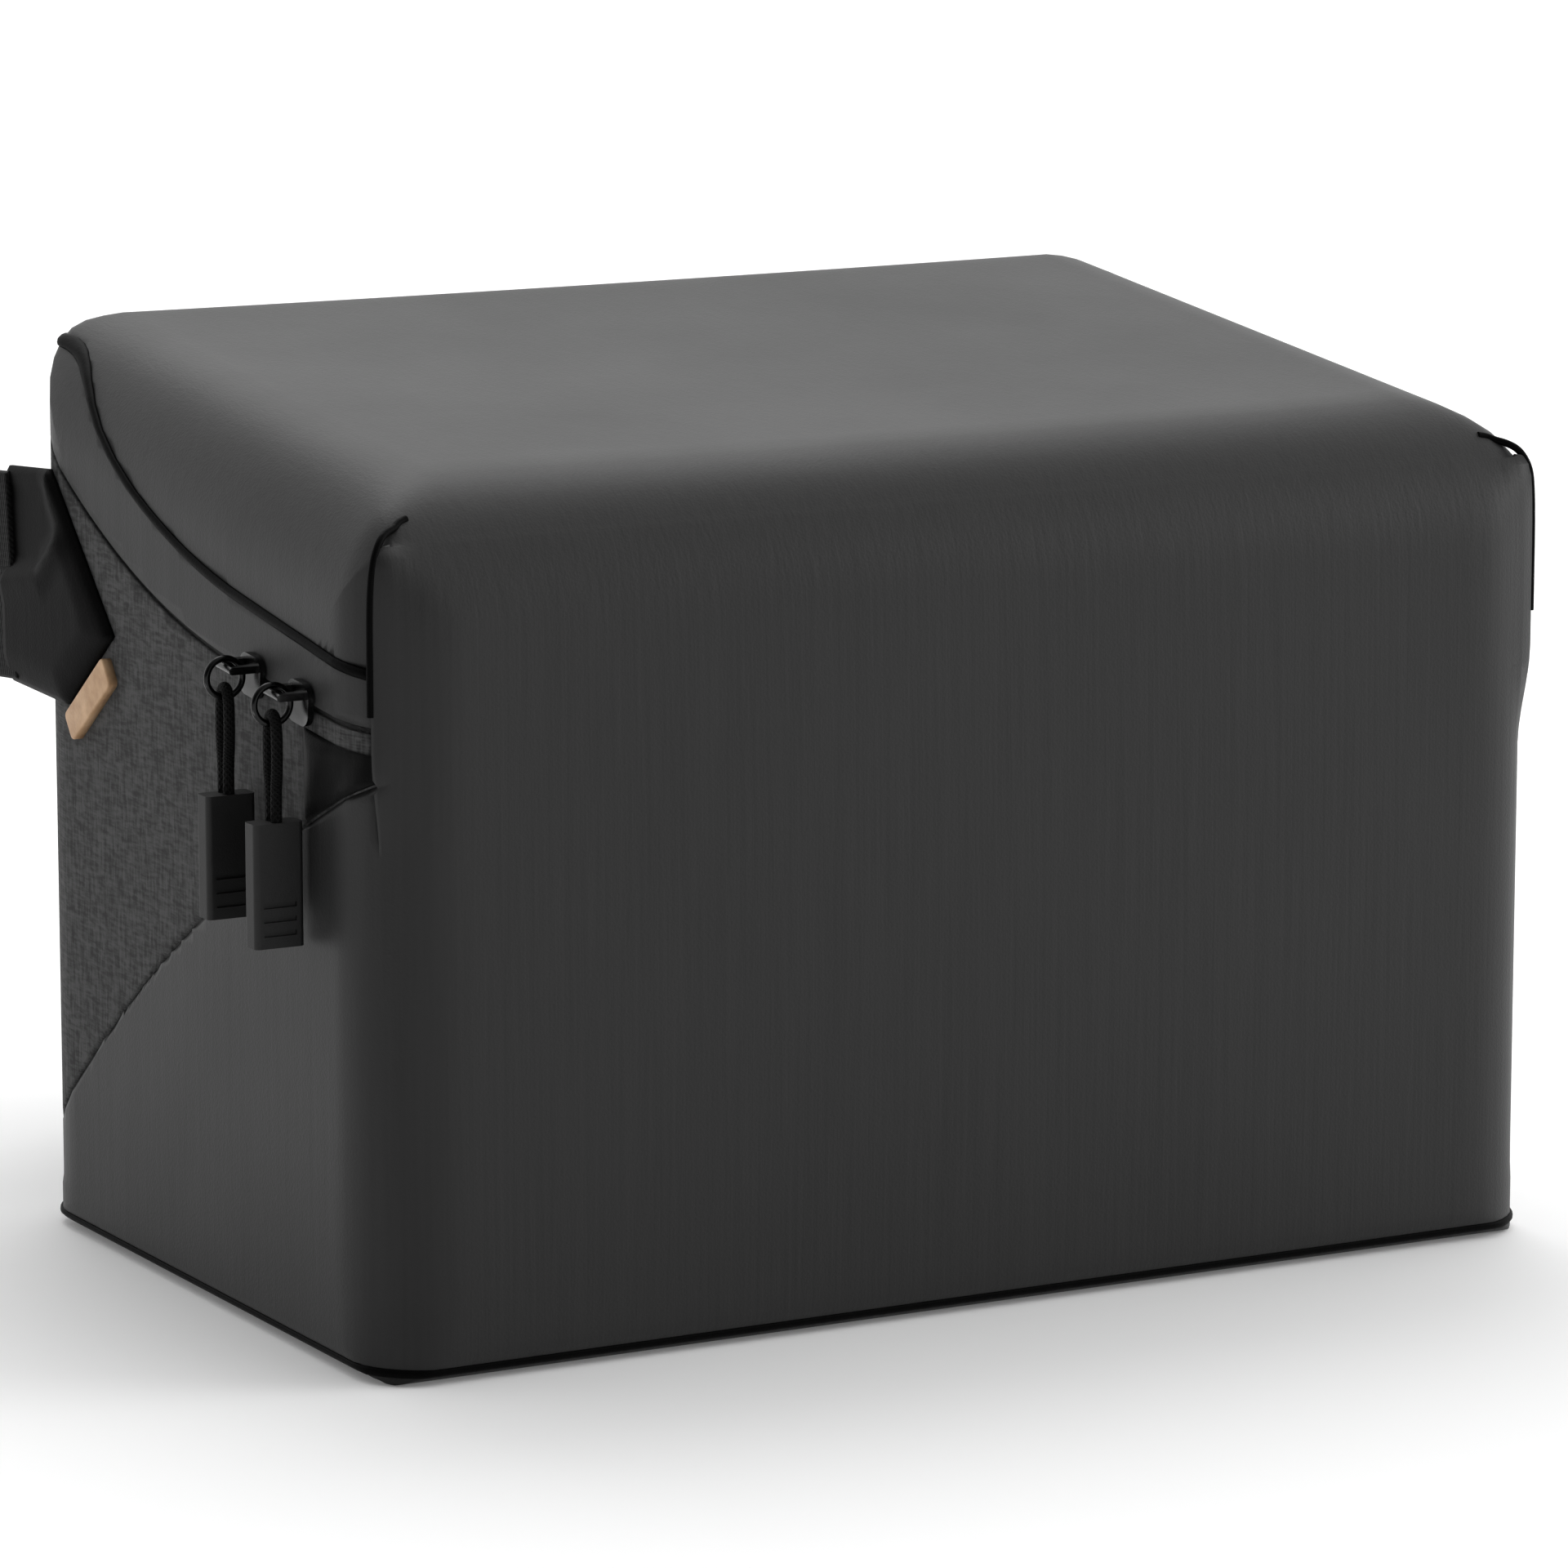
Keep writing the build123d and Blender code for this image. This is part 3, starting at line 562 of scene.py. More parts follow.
def new_group(name, inputs, outputs):
    """An empty shader node group with float inputs, given as name and default."""
    tree = bpy.data.node_groups.new(name, "ShaderNodeTree")
    for label, default in inputs:
        kind = "NodeSocketVector" if default is None else "NodeSocketFloat"
        socket = tree.interface.new_socket(label, in_out="INPUT", socket_type=kind)
        if default is not None:
            socket.default_value = default
    for label in outputs:
        tree.interface.new_socket(label, in_out="OUTPUT", socket_type="NodeSocketFloat")
    return tree, tree.nodes.new("NodeGroupInput"), tree.nodes.new("NodeGroupOutput")


# %% Plain weave
def make_weave_group():
    """Threads over and under each other: a height from 0 to 1, in a chosen pair of directions."""
    tree, given, out = new_group("plain_weave", (("Place", None), ("Threads per metre", 1400.0)), ("Height",))
    split = add_node(tree, "ShaderNodeSeparateXYZ")
    wire(tree, given.outputs["Place"], split.inputs[0])
    warp_turns = math_node(tree, "MULTIPLY", split.outputs[0], given.outputs["Threads per metre"])
    weft_turns = math_node(tree, "MULTIPLY", split.outputs[1], given.outputs["Threads per metre"])
    warp = math_node(tree, "SINE", math_node(tree, "MULTIPLY", warp_turns, pi))
    weft = math_node(tree, "SINE", math_node(tree, "MULTIPLY", weft_turns, pi))
    over = math_node(tree, "MULTIPLY", warp, weft)
    crown = math_node(tree, "MULTIPLY", math_node(tree, "ABSOLUTE", warp), math_node(tree, "ABSOLUTE", weft))
    height = mixed(tree, over, 0.25, crown, 0.6)
    wire(tree, math_node(tree, "ADD", height, 0.2), out.inputs["Height"])
    return tree


def make_mottle_group():
    """A slow wandering from 0 to 1, which breaks up any even colour or gloss."""
    tree, given, out = new_group("mottle", (("Place", None), ("Patches per metre", 30.0)), ("Value",))
    noise = add_node(tree, "ShaderNodeTexNoise", Detail=4.0, Roughness=0.55)
    wire(tree, given.outputs["Place"], noise.inputs["Vector"])
    wire(tree, given.outputs["Patches per metre"], noise.inputs["Scale"])
    wire(tree, noise.outputs["Fac"], out.inputs["Value"])
    return tree


weave_group = make_weave_group()
mottle_group = make_mottle_group()
print("node groups:", [g.name for g in bpy.data.node_groups])


# %% Helpers for finishes
def start_material(name, roughness=0.6, specular=0.5, sheen=0.0, coat=0.0, metallic=0.0):
    """A material with its Principled shader and the place on the piece."""
    material = bpy.data.materials.new(name)
    material.use_nodes = True
    tree = material.node_tree
    shader = tree.nodes["Principled BSDF"]
    shader.inputs["Roughness"].default_value = roughness
    shader.inputs["Specular IOR Level"].default_value = specular
    shader.inputs["Sheen Weight"].default_value = sheen
    shader.inputs["Coat Weight"].default_value = coat
    shader.inputs["Metallic"].default_value = metallic
    place = add_node(tree, "ShaderNodeTexCoord").outputs["Object"]
    return material, tree, shader, place


def stretched(tree, place, scale, turn=(0, 0, 0)):
    """The place, scaled and turned."""
    mapping = add_node(tree, "ShaderNodeMapping")
    mapping.inputs["Scale"].default_value = scale
    mapping.inputs["Rotation"].default_value = turn
    wire(tree, place, mapping.inputs["Vector"])
    return mapping.outputs["Vector"]


def use_group(tree, group, place, **values):
    """The first output of a node group, with its inputs set by name."""
    node = tree.nodes.new("ShaderNodeGroup")
    node.node_tree = group
    wire(tree, place, node.inputs["Place"])
    for name, value in values.items():
        node.inputs[name.replace("_", " ")].default_value = value
    return node.outputs[0]


def laid_weave(tree, place, threads, turn=45):
    """The plain weave on upright cloth, its threads turned by so many degrees."""
    flat_place = stretched(tree, place, (1, 1, 1), (radians(90), 0, radians(turn)))
    return use_group(tree, weave_group, flat_place, Threads_per_metre=threads)


def paint(tree, shader, factor, dark, light, low=0.0, high=1.0):
    """Base colour on a ramp from dark to light."""
    ramp = add_node(tree, "ShaderNodeValToRGB")
    ramp.color_ramp.elements[0].position, ramp.color_ramp.elements[1].position = low, high
    ramp.color_ramp.elements[0].color = (*dark, 1)
    ramp.color_ramp.elements[1].color = (*light, 1)
    wire(tree, factor, ramp.inputs["Fac"])
    wire(tree, ramp.outputs["Color"], shader.inputs["Base Color"])


def bump(tree, shader, height, strength, distance):
    """Relief on the shader's normal."""
    node = add_node(tree, "ShaderNodeBump", Strength=strength, Distance=distance)
    wire(tree, height, node.inputs["Height"])
    wire(tree, node.outputs["Normal"], shader.inputs["Normal"])


def grey(level, warm=0.0):
    """A neutral colour, a little warm or cool."""
    return (level * (1 + warm), level, level * (1 - warm))

# %% [markdown]
# ### Coated cloth
#
# The front, the lid and the base wrap are a cloth with a matt polyurethane coat. Its grain is a
# fine leathery pebble, drawn out upwards into faint streaks, and light grazing it brightens it.
# The streaks are a noise whose place is squeezed across the width and stretched along the height.

# %% Coated cloth
def coated_cloth(name, dark, light, specular=0.24):
    material, tree, shader, place = start_material(name, roughness=0.5, specular=specular,
                                                   sheen=specular * 0.08)
    shader.inputs["Sheen Roughness"].default_value = 0.5
    streaks = add_node(tree, "ShaderNodeTexNoise", Scale=1.0, Detail=3.0, Roughness=0.6)
    wire(tree, stretched(tree, place, (700, 240, 16)), streaks.inputs["Vector"])
    patches = use_group(tree, mottle_group, place, Patches_per_metre=14.0)
    mix = mixed(tree, streaks.outputs["Fac"], 0.55, patches, 0.45)
    paint(tree, shader, mix, dark, light, 0.3, 0.7)
    pebble = add_node(tree, "ShaderNodeTexVoronoi", Scale=1500.0)
    wire(tree, place, pebble.inputs["Vector"])
    height = mixed(tree, streaks.outputs["Fac"], 0.8, pebble.outputs["Distance"], 0.35)
    bump(tree, shader, height, 0.35, 0.25 * MM)
    gloss = math_node(tree, "ADD", math_node(tree, "MULTIPLY", patches, 0.16), 0.42)
    wire(tree, gloss, shader.inputs["Roughness"])
    return material


cover_cloth = coated_cloth("coated_cover_cloth", grey(0.0145), grey(0.0205))
band_cloth = coated_cloth("band_cloth", grey(0.026), grey(0.035), specular=0.15)
base_cloth = coated_cloth("base_cloth", grey(0.003), grey(0.006))

# %% [markdown]
# ## The cover
#
# The front, the corners and the top of the bag are one cloth. It runs from the base seam up the
# front, over the roll and back over the lid, and the lid folds open along a line across the front.
# So it is one piece, and it rides on neither body. At each front corner the lid is darted: the
# cloth of the front stands proud over the side of the lid, and the dart dies out in the roll.

# %% Which part of the form is the cover
DART_REACH = 11.0 * MM          # the dart curls in over the roll this far from the side
DART_LIFT = 2.6 * MM            # the front cloth stands this proud at the dart
DART_TUCK = 1.4 * MM            # the side cloth goes in under it
DART_LOW = (118 * MM, 142 * MM)  # heights between which the cloth begins to stand proud
DART_FADE = 6.0 * MM            # it lies down again over this distance at its end
FRONT_SPREAD = 8.0 * MM         # the lift reaches this far into the cloth of the front
SIDE_SPREAD = 9.0 * MM          # and the tuck this far into the cloth of the side
DART_PULL = 2.0 * MM            # the side cloth runs on this far under the front


def on_cover(p):
    below_seam = BASE_SEAM_Z < p.z < seam_line(p.y)
    return p.z > piping_line(p.y) or below_seam or (p.y < DART_Y and p.z > BASE_SEAM_Z)


def bag_normal(p):
    """Roughly which way the cloth faces at a front corner, from the centres of its rolls."""
    side = 1 if p.x > 0 else -1
    centre = Vector((side * (HALF_W - SHOULDER_R), FRONT_Y + FRONT_CORNER_R,
                     min(p.z, top_of(FRONT_Y + FRONT_CORNER_R) - SHOULDER_R)))
    return (p - centre).normalized()


def dart_height(p):
    """How far the cloth stands open at the dart: none low down and at the end, all of it between."""
    return (ease((p.z - DART_LOW[0]) / (DART_LOW[1] - DART_LOW[0]))
            * ease((abs(p.x) - HALF_W + DART_REACH) / DART_FADE))


def lift_dart(bm):
    """Opens the dart at each front corner of the lid and lifts the front cloth over it."""
    cut = [e for e in bm.edges if all(
        abs(v.co.y - DART_Y) < 0.4 * MM and abs(v.co.x) > HALF_W - DART_REACH
        and v.co.z > DART_LOW[0] for v in e.verts) and abs(e.verts[0].co.y - DART_Y) < 0.05 * MM]
    bmesh.ops.split_edges(bm, edges=cut)
    outward = {vert: bag_normal(vert.co) for vert in bm.verts}
    for vert in bm.verts:
        p = vert.co
        if abs(p.x) < HALF_W - FRONT_CORNER_R or p.y > DART_Y + 12 * MM:
            continue
        height = dart_height(p)
        front = all(f.calc_center_median().y < DART_Y for f in vert.link_faces)
        if front:
            near = ease(1 - (DART_Y - p.y) / FRONT_SPREAD) * height
            vert.co += outward[vert] * DART_LIFT * near
        elif p.z > piping_line(p.y) - 1 * MM:
            near = ease(1 - (p.y - DART_Y) / SIDE_SPREAD) * height
            vert.co -= outward[vert] * DART_TUCK * near
            vert.co.y -= DART_PULL * near * near


# %% Make the cover
def sink_seam(bm):
    """Draws the cloth in along the seam between the cover and the woven sides."""
    bm.normal_update()
    for vert in bm.verts:
        if vert.co.y > DART_Y - 0.1 * MM and abs(vert.co.z - seam_line(vert.co.y)) < 0.05 * MM:
            vert.co -= vert.normal * SEAM_SINK


cover_mesh = outer.copy()
keep_faces(cover_mesh, on_cover)
sink_seam(cover_mesh)
lift_dart(cover_mesh)
cover = piece_of("cover_front_and_lid", cover_mesh, None, cover_cloth,
                 ("front_cover", "lid_cover"))
thicken(cover, SKIN)
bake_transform(cover)

# %% [markdown]
# ### Binding on the dart
#
# The lifted edge is bound with a thin black cord, which also paints shade into the dart's groove. It
# takes the dart's own route: a row of points on the form, up from the piping, round the roll of the
# lid and a little way in over the top, each lifted as the cloth is. It is made as a curve with a
# round bevel and kept as a plain mesh.

# %% Dart cords
DART_CORD_R = 0.85 * MM
DART_HOOK = 9.5 * MM            # the cord turns in over the lid by this much
DART_RISE_STEPS = 6
DART_TURN_STEPS = 7
DART_BEDDED = 0.2 * MM          # the cord lies this deep in the edge
form_surface = BVHTree.FromBMesh(outer)


def kept_as_mesh(route, name, material, body, replaces=()):
    """Turns a curve into a plain mesh piece that rides on a body."""
    mesh = bpy.data.meshes.new_from_object(route)
    mesh.name = name
    bpy.data.objects.remove(route)
    mesh.materials.clear()
    mesh.materials.append(material)
    piece = put_in_scene(name, mesh)
    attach(piece, body)
    if replaces:
        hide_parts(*replaces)
    print(name, "has", len(mesh.polygons), "faces")


def dart_cord(side_name, side):
    """The cord along the lifted edge of the cover at one corner."""
    short_of_side = FRONT_CORNER_R - DART_Y + FRONT_Y
    across = HALF_W - FRONT_CORNER_R + sqrt(FRONT_CORNER_R ** 2 - short_of_side ** 2)
    low_z, turn_z = HINGE_Z + 4 * MM, top_of(DART_Y) - SHOULDER_R
    spine = []
    for step in range(DART_RISE_STEPS + DART_TURN_STEPS + 1):
        rise = min(step / DART_RISE_STEPS, 1)
        turn = pi / 2 * max(step - DART_RISE_STEPS, 0) / DART_TURN_STEPS
        wanted = Vector((side * (across - DART_HOOK * (1 - cos(turn))), DART_Y,
                         low_z + (turn_z - low_z) * rise + SHOULDER_R * sin(turn)))
        place = form_surface.find_nearest(wanted)[0]
        spine.append(place + bag_normal(place) * (DART_LIFT * dart_height(place) - DART_BEDDED))
    route = curve_piece(f"dart_route_{side_name}", spine, DART_CORD_R)
    # The black cord is partly binding and partly painted shade for the groove of the dart.
    kept_as_mesh(route, f"dart_cord_{side_name}", piping_cloth, "lid")


piping_cloth = coated_cloth("piping_cloth", grey(0.0008), grey(0.0018), specular=0.03)
for side_name, side in SIDES:
    dart_cord(side_name, side)

# %% [markdown]
# ## The woven sides and back
#
# The sides and back are a heathered cloth: two greys spun together, so that the weave shows as
# small dashes. Each thread is a long thin cell of noise, laid once across and once upwards, and
# the two are mixed by the weave.

# %% Heathered cloth
def heather_cloth(name, dark, light):
    material, tree, shader, place = start_material(name, roughness=0.85, specular=0.22, sheen=0.05)
    shader.inputs["Sheen Roughness"].default_value = 0.45
    upright = add_node(tree, "ShaderNodeTexNoise", Scale=1.0, Detail=2.0, Roughness=0.7)
    wire(tree, stretched(tree, place, (900, 900, 170)), upright.inputs["Vector"])
    level = add_node(tree, "ShaderNodeTexNoise", Scale=1.0, Detail=2.0, Roughness=0.7)
    wire(tree, stretched(tree, place, (170, 170, 900)), level.inputs["Vector"])
    flecks = mixed(tree, upright.outputs["Fac"], 0.5, level.outputs["Fac"], 0.5)
    paint(tree, shader, flecks, dark, light, 0.40, 0.60)
    weave = laid_weave(tree, place, 1500.0, 90)
    height = mixed(tree, weave, 0.7, flecks, 0.8)
    bump(tree, shader, height, 0.5, 0.3 * MM)
    return material


side_cloth = heather_cloth("heathered_side_cloth", grey(0.021), grey(0.068))

# %% Sides, back, base and band
def on_woven_wrap(p):
    return p.y > DART_Y and seam_line(p.y) < p.z < zip_line(p.y) - TEETH_GAP / 2 and p.z > BASE_SEAM_Z


def cut_piece(name, form, test, body, material, replaces, thickness=SKIN, change=None):
    """A copy of the form, kept only where the test says, as a sheet with its thickness."""
    bm = form.copy()
    keep_faces(bm, test)
    if change:
        change(bm)
    return thicken(piece_of(name, bm, body, material, replaces), thickness)


SPLIT_X = HALF_W - BACK_CORNER_R
for side_name, side in SIDES:
    cut_piece(
        f"woven_side_{side_name}", outer, lambda p: on_woven_wrap(p) and side * p.x > SPLIT_X, "body",
        side_cloth, (f"side_panel_{side_name}",), change=sink_seam)
cut_piece("woven_back", outer, lambda p: on_woven_wrap(p) and abs(p.x) < SPLIT_X, "body",
          side_cloth, ("back_panel",))
cut_piece("base_tray", outer, lambda p: p.z < BASE_SEAM_Z, "body",
          base_cloth, ("base_panel",))


def on_band(p):
    return p.y > DART_Y and zip_line(p.y) + BAND_LOW < p.z < piping_line(p.y)


cut_piece("lid_side_band", outer, on_band, "lid", band_cloth, ("lid_band",))

# %% [markdown]
# ## Piping
#
# Piping is a cord in a folded strip, sewn into a seam. A row of cuts close together on the form
# gives a narrow ribbon, and each of its points is pushed out by the height of a half circle.
# The ribbon then runs exactly in its seam and round every corner.

# %% Ribbons on the form
def ribbon(form, line, half_width, proud, test, rows=6):
    """A half-round strip along a line of the side view."""
    bm = form.copy()
    offsets = [half_width * sin(pi / 2 * (2 * row / rows - 1)) for row in range(rows + 1)]
    keep_faces(bm, lambda p: test(p) and abs(p.z - line(p.y)) < half_width + 9 * MM)
    for offset in offsets:
        slice_along(bm, line, offset)
    keep_faces(bm, lambda p: abs(p.z - line(p.y)) < half_width * 1.001)
    bm.normal_update()
    for vert in bm.verts:
        share = min(abs(vert.co.z - line(vert.co.y)) / half_width, 1)
        vert.co += vert.normal * proud * sqrt(1 - share * share)
    return bm


piping_mesh = ribbon(outer, piping_line, 1.3 * MM, 1.0 * MM, lambda p: p.y > DART_Y)
lid_piping = piece_of("lid_edge_piping", piping_mesh, "lid", piping_cloth, ("lid_piping",))
thicken(lid_piping, SKIN)


def base_line(y):
    return BASE_SEAM_Z


base_cord_mesh = ribbon(outer, base_line, 1.0 * MM, 0.7 * MM, lambda p: True)
base_piping = piece_of("base_edge_piping", base_cord_mesh, "body", piping_cloth, ("base_piping",))
thicken(base_piping, 0.5 * MM)

# %% [markdown]
# ## Foam boards and lining
#
# Behind the outer cloth lie boards of closed-cell foam, and inside them a silvery fire-resistant
# lining. Both are cut from forms drawn in by the thickness of what covers them. The boards hardly
# show, but when the lid is open they are what gives the walls their straight edges.

# %% Foam
def foam_finish():
    material, tree, shader, place = start_material("grey_foam", roughness=0.95, specular=0.15)
    cells = add_node(tree, "ShaderNodeTexVoronoi", Scale=1400.0)
    wire(tree, place, cells.inputs["Vector"])
    paint(tree, shader, cells.outputs["Distance"], grey(0.05), grey(0.10))
    bump(tree, shader, cells.outputs["Distance"], 0.6, 0.3 * MM)
    return material


foam = foam_finish()
BINDING_DROP = 4.5 * MM         # the binding's edge, from the zip line
BINDING = 1.0 * MM
RIM = BINDING_DROP + BINDING    # boards and lining stop this far from the zip line
BOARD_CLEAR = 0.15 * MM

board_form = bag_form(SKIN + BOARD_CLEAR)
lining_form = bag_form(WALL)
for form in (board_form, lining_form):
    for offset in (-RIM, RIM):
        slice_along(form, zip_line, offset)
    for side in (-1, 1):
        slice_flat(form, (side * SPLIT_X, 0, 0), (1, 0, 0))
slice_flat(board_form, (0, 0, WALL), (0, 0, 1))
slice_flat(board_form, (0, BACK_Y - BACK_BOTTOM_R, 0), (0, 1, 0))


def on_base_board(p):
    return p.z < WALL and p.y < BACK_Y - BACK_BOTTOM_R


def on_body_board(p):
    return p.z < zip_line(p.y) - RIM and not on_base_board(p)


def on_lid_board(p):
    return p.z > zip_line(p.y) + RIM


BOARDS = {
    "base": ("body", ("base_pad",), on_base_board),
    "front": ("body", ("front_pad",), lambda p: on_body_board(p) and abs(p.x) < SPLIT_X and p.y < 0),
    "back": ("body", ("back_pad",), lambda p: on_body_board(p) and abs(p.x) < SPLIT_X and p.y > 0),
    "side_left": ("body", ("side_pad_left",), lambda p: on_body_board(p) and p.x < -SPLIT_X),
    "side_right": ("body", ("side_pad_right",), lambda p: on_body_board(p) and p.x > SPLIT_X),
    "lid_top": ("lid", ("lid_top_pad",), lambda p: on_lid_board(p) and abs(p.x) < SPLIT_X),
    "lid_left": ("lid", ("lid_side_pad_left",), lambda p: on_lid_board(p) and p.x < -SPLIT_X),
    "lid_right": ("lid", ("lid_side_pad_right",), lambda p: on_lid_board(p) and p.x > SPLIT_X),
}
for name, (body, nodes, test) in BOARDS.items():
    board = cut_piece(f"foam_{name}", board_form, test, body, foam, nodes,
                      thickness=PAD - 2 * BOARD_CLEAR)

# %% [markdown]
# The lining is a closely woven glass cloth with a silvery face. It is quilted lightly to the foam,
# so it swells a little between its seams. The swelling is a push along the normal that fades to
# nothing at the edges of each wall.

# %% Lining
def lining_finish():
    material, tree, shader, place = start_material("silver_glass_cloth", roughness=0.42,
                                                   specular=0.5, metallic=0.35)
    weave = laid_weave(tree, place, 1300.0)
    patches = use_group(tree, mottle_group, place, Patches_per_metre=45.0)
    mix = mixed(tree, weave, 0.5, patches, 0.5)
    paint(tree, shader, mix, grey(0.22, -0.02), grey(0.46, -0.02), 0.25, 0.75)
    bump(tree, shader, weave, 0.55, 0.35 * MM)
    return material


glass_cloth = lining_finish()
QUILT = 1.1 * MM
QUILT_PITCH = 46.0 * MM
QUILT_FADE = 14.0 * MM          # the swelling dies out this close to the rim


def quilt(bm):
    """Swells the lining inwards between its rows of stitching."""
    bm.normal_update()
    for vert in bm.verts:
        p, n = vert.co, vert.normal
        across = p.x if abs(n.x) < 0.7 else p.y
        upward = p.z if abs(n.z) < 0.7 else p.y
        swell = sqrt(abs(sin(pi * (across / QUILT_PITCH + 0.5))) * abs(sin(pi * upward / QUILT_PITCH)))
        swell *= ease((abs(p.z - zip_line(p.y)) - RIM) / QUILT_FADE)
        vert.co -= n * QUILT * swell


cut_piece("lining_of_body", lining_form, lambda p: p.z < zip_line(p.y) - RIM, "body",
          glass_cloth, ("body_liner",), thickness=-LINER, change=quilt)
cut_piece("lining_of_lid", lining_form, on_lid_board, "lid",
          glass_cloth, ("lid_liner",), thickness=-LINER, change=quilt)

# %% [markdown]
# ## Binding and the fold
#
# A tape is folded over the raw edges of cloth, foam and lining all round the opening. Across the
# front there is no zip: the lining runs on from the body into the lid, so one strip of it crosses
# the fold, and it rides on neither body.

# %% Binding tape
def ribbed_tape(name, dark, light, ribs_per_metre=900.0, roughness=0.7):
    """A narrow woven tape with fine ribs across it."""
    material, tree, shader, place = start_material(name, roughness=roughness, specular=0.35, sheen=0.2)
    weave = laid_weave(tree, place, ribs_per_metre)
    patches = use_group(tree, mottle_group, place, Patches_per_metre=60.0)
    mix = mixed(tree, weave, 0.6, patches, 0.4)
    paint(tree, shader, mix, dark, light, 0.2, 0.8)
    bump(tree, shader, weave, 0.6, 0.4 * MM)
    return material


binding_tape = ribbed_tape("binding_tape", grey(0.010), grey(0.024))


def binding_over(name, form_inset, low, high, body, node):
    """The tape over an edge: the ring between two lines, from the outer cloth to the lining."""
    bm = bag_form(form_inset)
    for offset in (low, high):
        slice_along(bm, zip_line, offset)
    keep_faces(bm, lambda p: zip_line(p.y) + low < p.z < zip_line(p.y) + high)
    strip = piece_of(name, bm, body, binding_tape, (node,))
    thicken(strip, WALL - SKIN + 0.6 * MM, 0.3 * MM)


BINDING_INSET = SKIN + 0.05 * MM
BINDING_REACH = RIM + 1.5 * MM
binding_over("binding_of_body", BINDING_INSET, -BINDING_REACH, -BINDING_DROP, "body", "body_rim_binding")
binding_over("binding_of_lid", BINDING_INSET, BINDING_DROP, BINDING_REACH, "lid", "lid_rim_binding")

# %% Fold lining across the front
FOLD_REACH = RIM + 8 * MM       # the strip reaches this far over and under the fold
FOLD_BACK_Y = FRONT_Y + 22 * MM
fold_mesh = bag_form(WALL - 0.9 * MM)
for offset in (-FOLD_REACH, FOLD_REACH):
    slice_along(fold_mesh, zip_line, offset)
slice_flat(fold_mesh, (0, FOLD_BACK_Y, 0), (0, 1, 0))
keep_faces(fold_mesh, lambda p: p.y < FOLD_BACK_Y and abs(p.z - zip_line(p.y)) < FOLD_REACH)
fold_lining = thicken(piece_of("lining_across_fold", fold_mesh, None, glass_cloth), LINER)
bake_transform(fold_lining)

# %% [markdown]
# ## Metal, rubber and plastic
#
# The zip sliders and rings are cast zinc with a black nickel plate: a dark metal with tight
# highlights, worn a little brighter on its edges. The pull tabs are soft matt rubber, and the ring
# and adjuster of the strap are moulded plastic with a fine spark-eroded texture. These pieces keep
# their CAD shape, so only their material slots change.

# %% Wear along edges
def make_wear_group():
    """1 where a surface turns sharply, broken up so that it doesn't look drawn on."""
    tree, given, out = new_group("edge_wear", (("Place", None), ("Sharpness", 6.0)), ("Mask",))
    geometry = add_node(tree, "ShaderNodeNewGeometry")
    noise = add_node(tree, "ShaderNodeTexNoise", Scale=700.0, Detail=3.0)
    wire(tree, given.outputs["Place"], noise.inputs["Vector"])
    edge = math_node(tree, "SUBTRACT", geometry.outputs["Pointiness"], 0.52)
    edge = math_node(tree, "MULTIPLY", edge, given.outputs["Sharpness"])
    broken = math_node(tree, "MULTIPLY", edge, noise.outputs["Fac"])
    node = tree.nodes.new("ShaderNodeClamp")
    wire(tree, broken, node.inputs["Value"])
    wire(tree, node.outputs[0], out.inputs["Mask"])
    return tree


wear_group = make_wear_group()


# %% Finishes of the hardware
def plated_metal():
    material, tree, shader, place = start_material("black_nickel_plate", roughness=0.22, metallic=1.0)
    wear = use_group(tree, wear_group, place, Sharpness=9.0)
    paint(tree, shader, wear, grey(0.022), grey(0.12))
    smears = use_group(tree, mottle_group, place, Patches_per_metre=260.0)
    gloss = math_node(tree, "ADD", math_node(tree, "MULTIPLY", smears, 0.22), 0.12)
    wire(tree, gloss, shader.inputs["Roughness"])
    return material


def moulded(name, dark, light, roughness, grain, strength):
    """Rubber or plastic with a fine moulded grain."""
    material, tree, shader, place = start_material(name, roughness=roughness, specular=0.4)
    texture = add_node(tree, "ShaderNodeTexNoise", Scale=grain, Detail=3.0, Roughness=0.6)
    wire(tree, place, texture.inputs["Vector"])
    patches = use_group(tree, mottle_group, place, Patches_per_metre=120.0)
    wear = use_group(tree, wear_group, place, Sharpness=5.0)
    mix = mixed(tree, patches, 0.6, wear, 0.6)
    paint(tree, shader, mix, dark, light, 0.2, 0.9)
    bump(tree, shader, texture.outputs["Fac"], strength, 0.2 * MM)
    return material


plated = plated_metal()
pull_rubber = moulded("pull_rubber", grey(0.003), grey(0.008), 0.6, 2600.0, 0.25)
fitting_plastic = moulded("fitting_plastic", grey(0.008), grey(0.018), 0.42, 1800.0, 0.35)


def repaint(nodes, material):
    """Gives CAD nodes that keep their shape a better material."""
    for name in nodes:
        for material_slot in frame["nodes"][name].material_slots:
            material_slot.material = material
    print(material.name, "on", ", ".join(nodes))


ENDS = ("rear", "front")
repaint([f"slider_{end}" for end in ENDS] + [f"puller_ring_{end}" for end in ENDS], plated)
repaint([f"pull_tab_{end}" for end in ENDS], pull_rubber)
repaint(["square_ring", "strap_adjuster"], fitting_plastic)

# %% [markdown]
# ### Braided cord
#
# The pull cords are braided. A curve has its own UV map, which runs along the cord and round it,
# so two sets of slanting stripes on it make a braid that follows every bend.

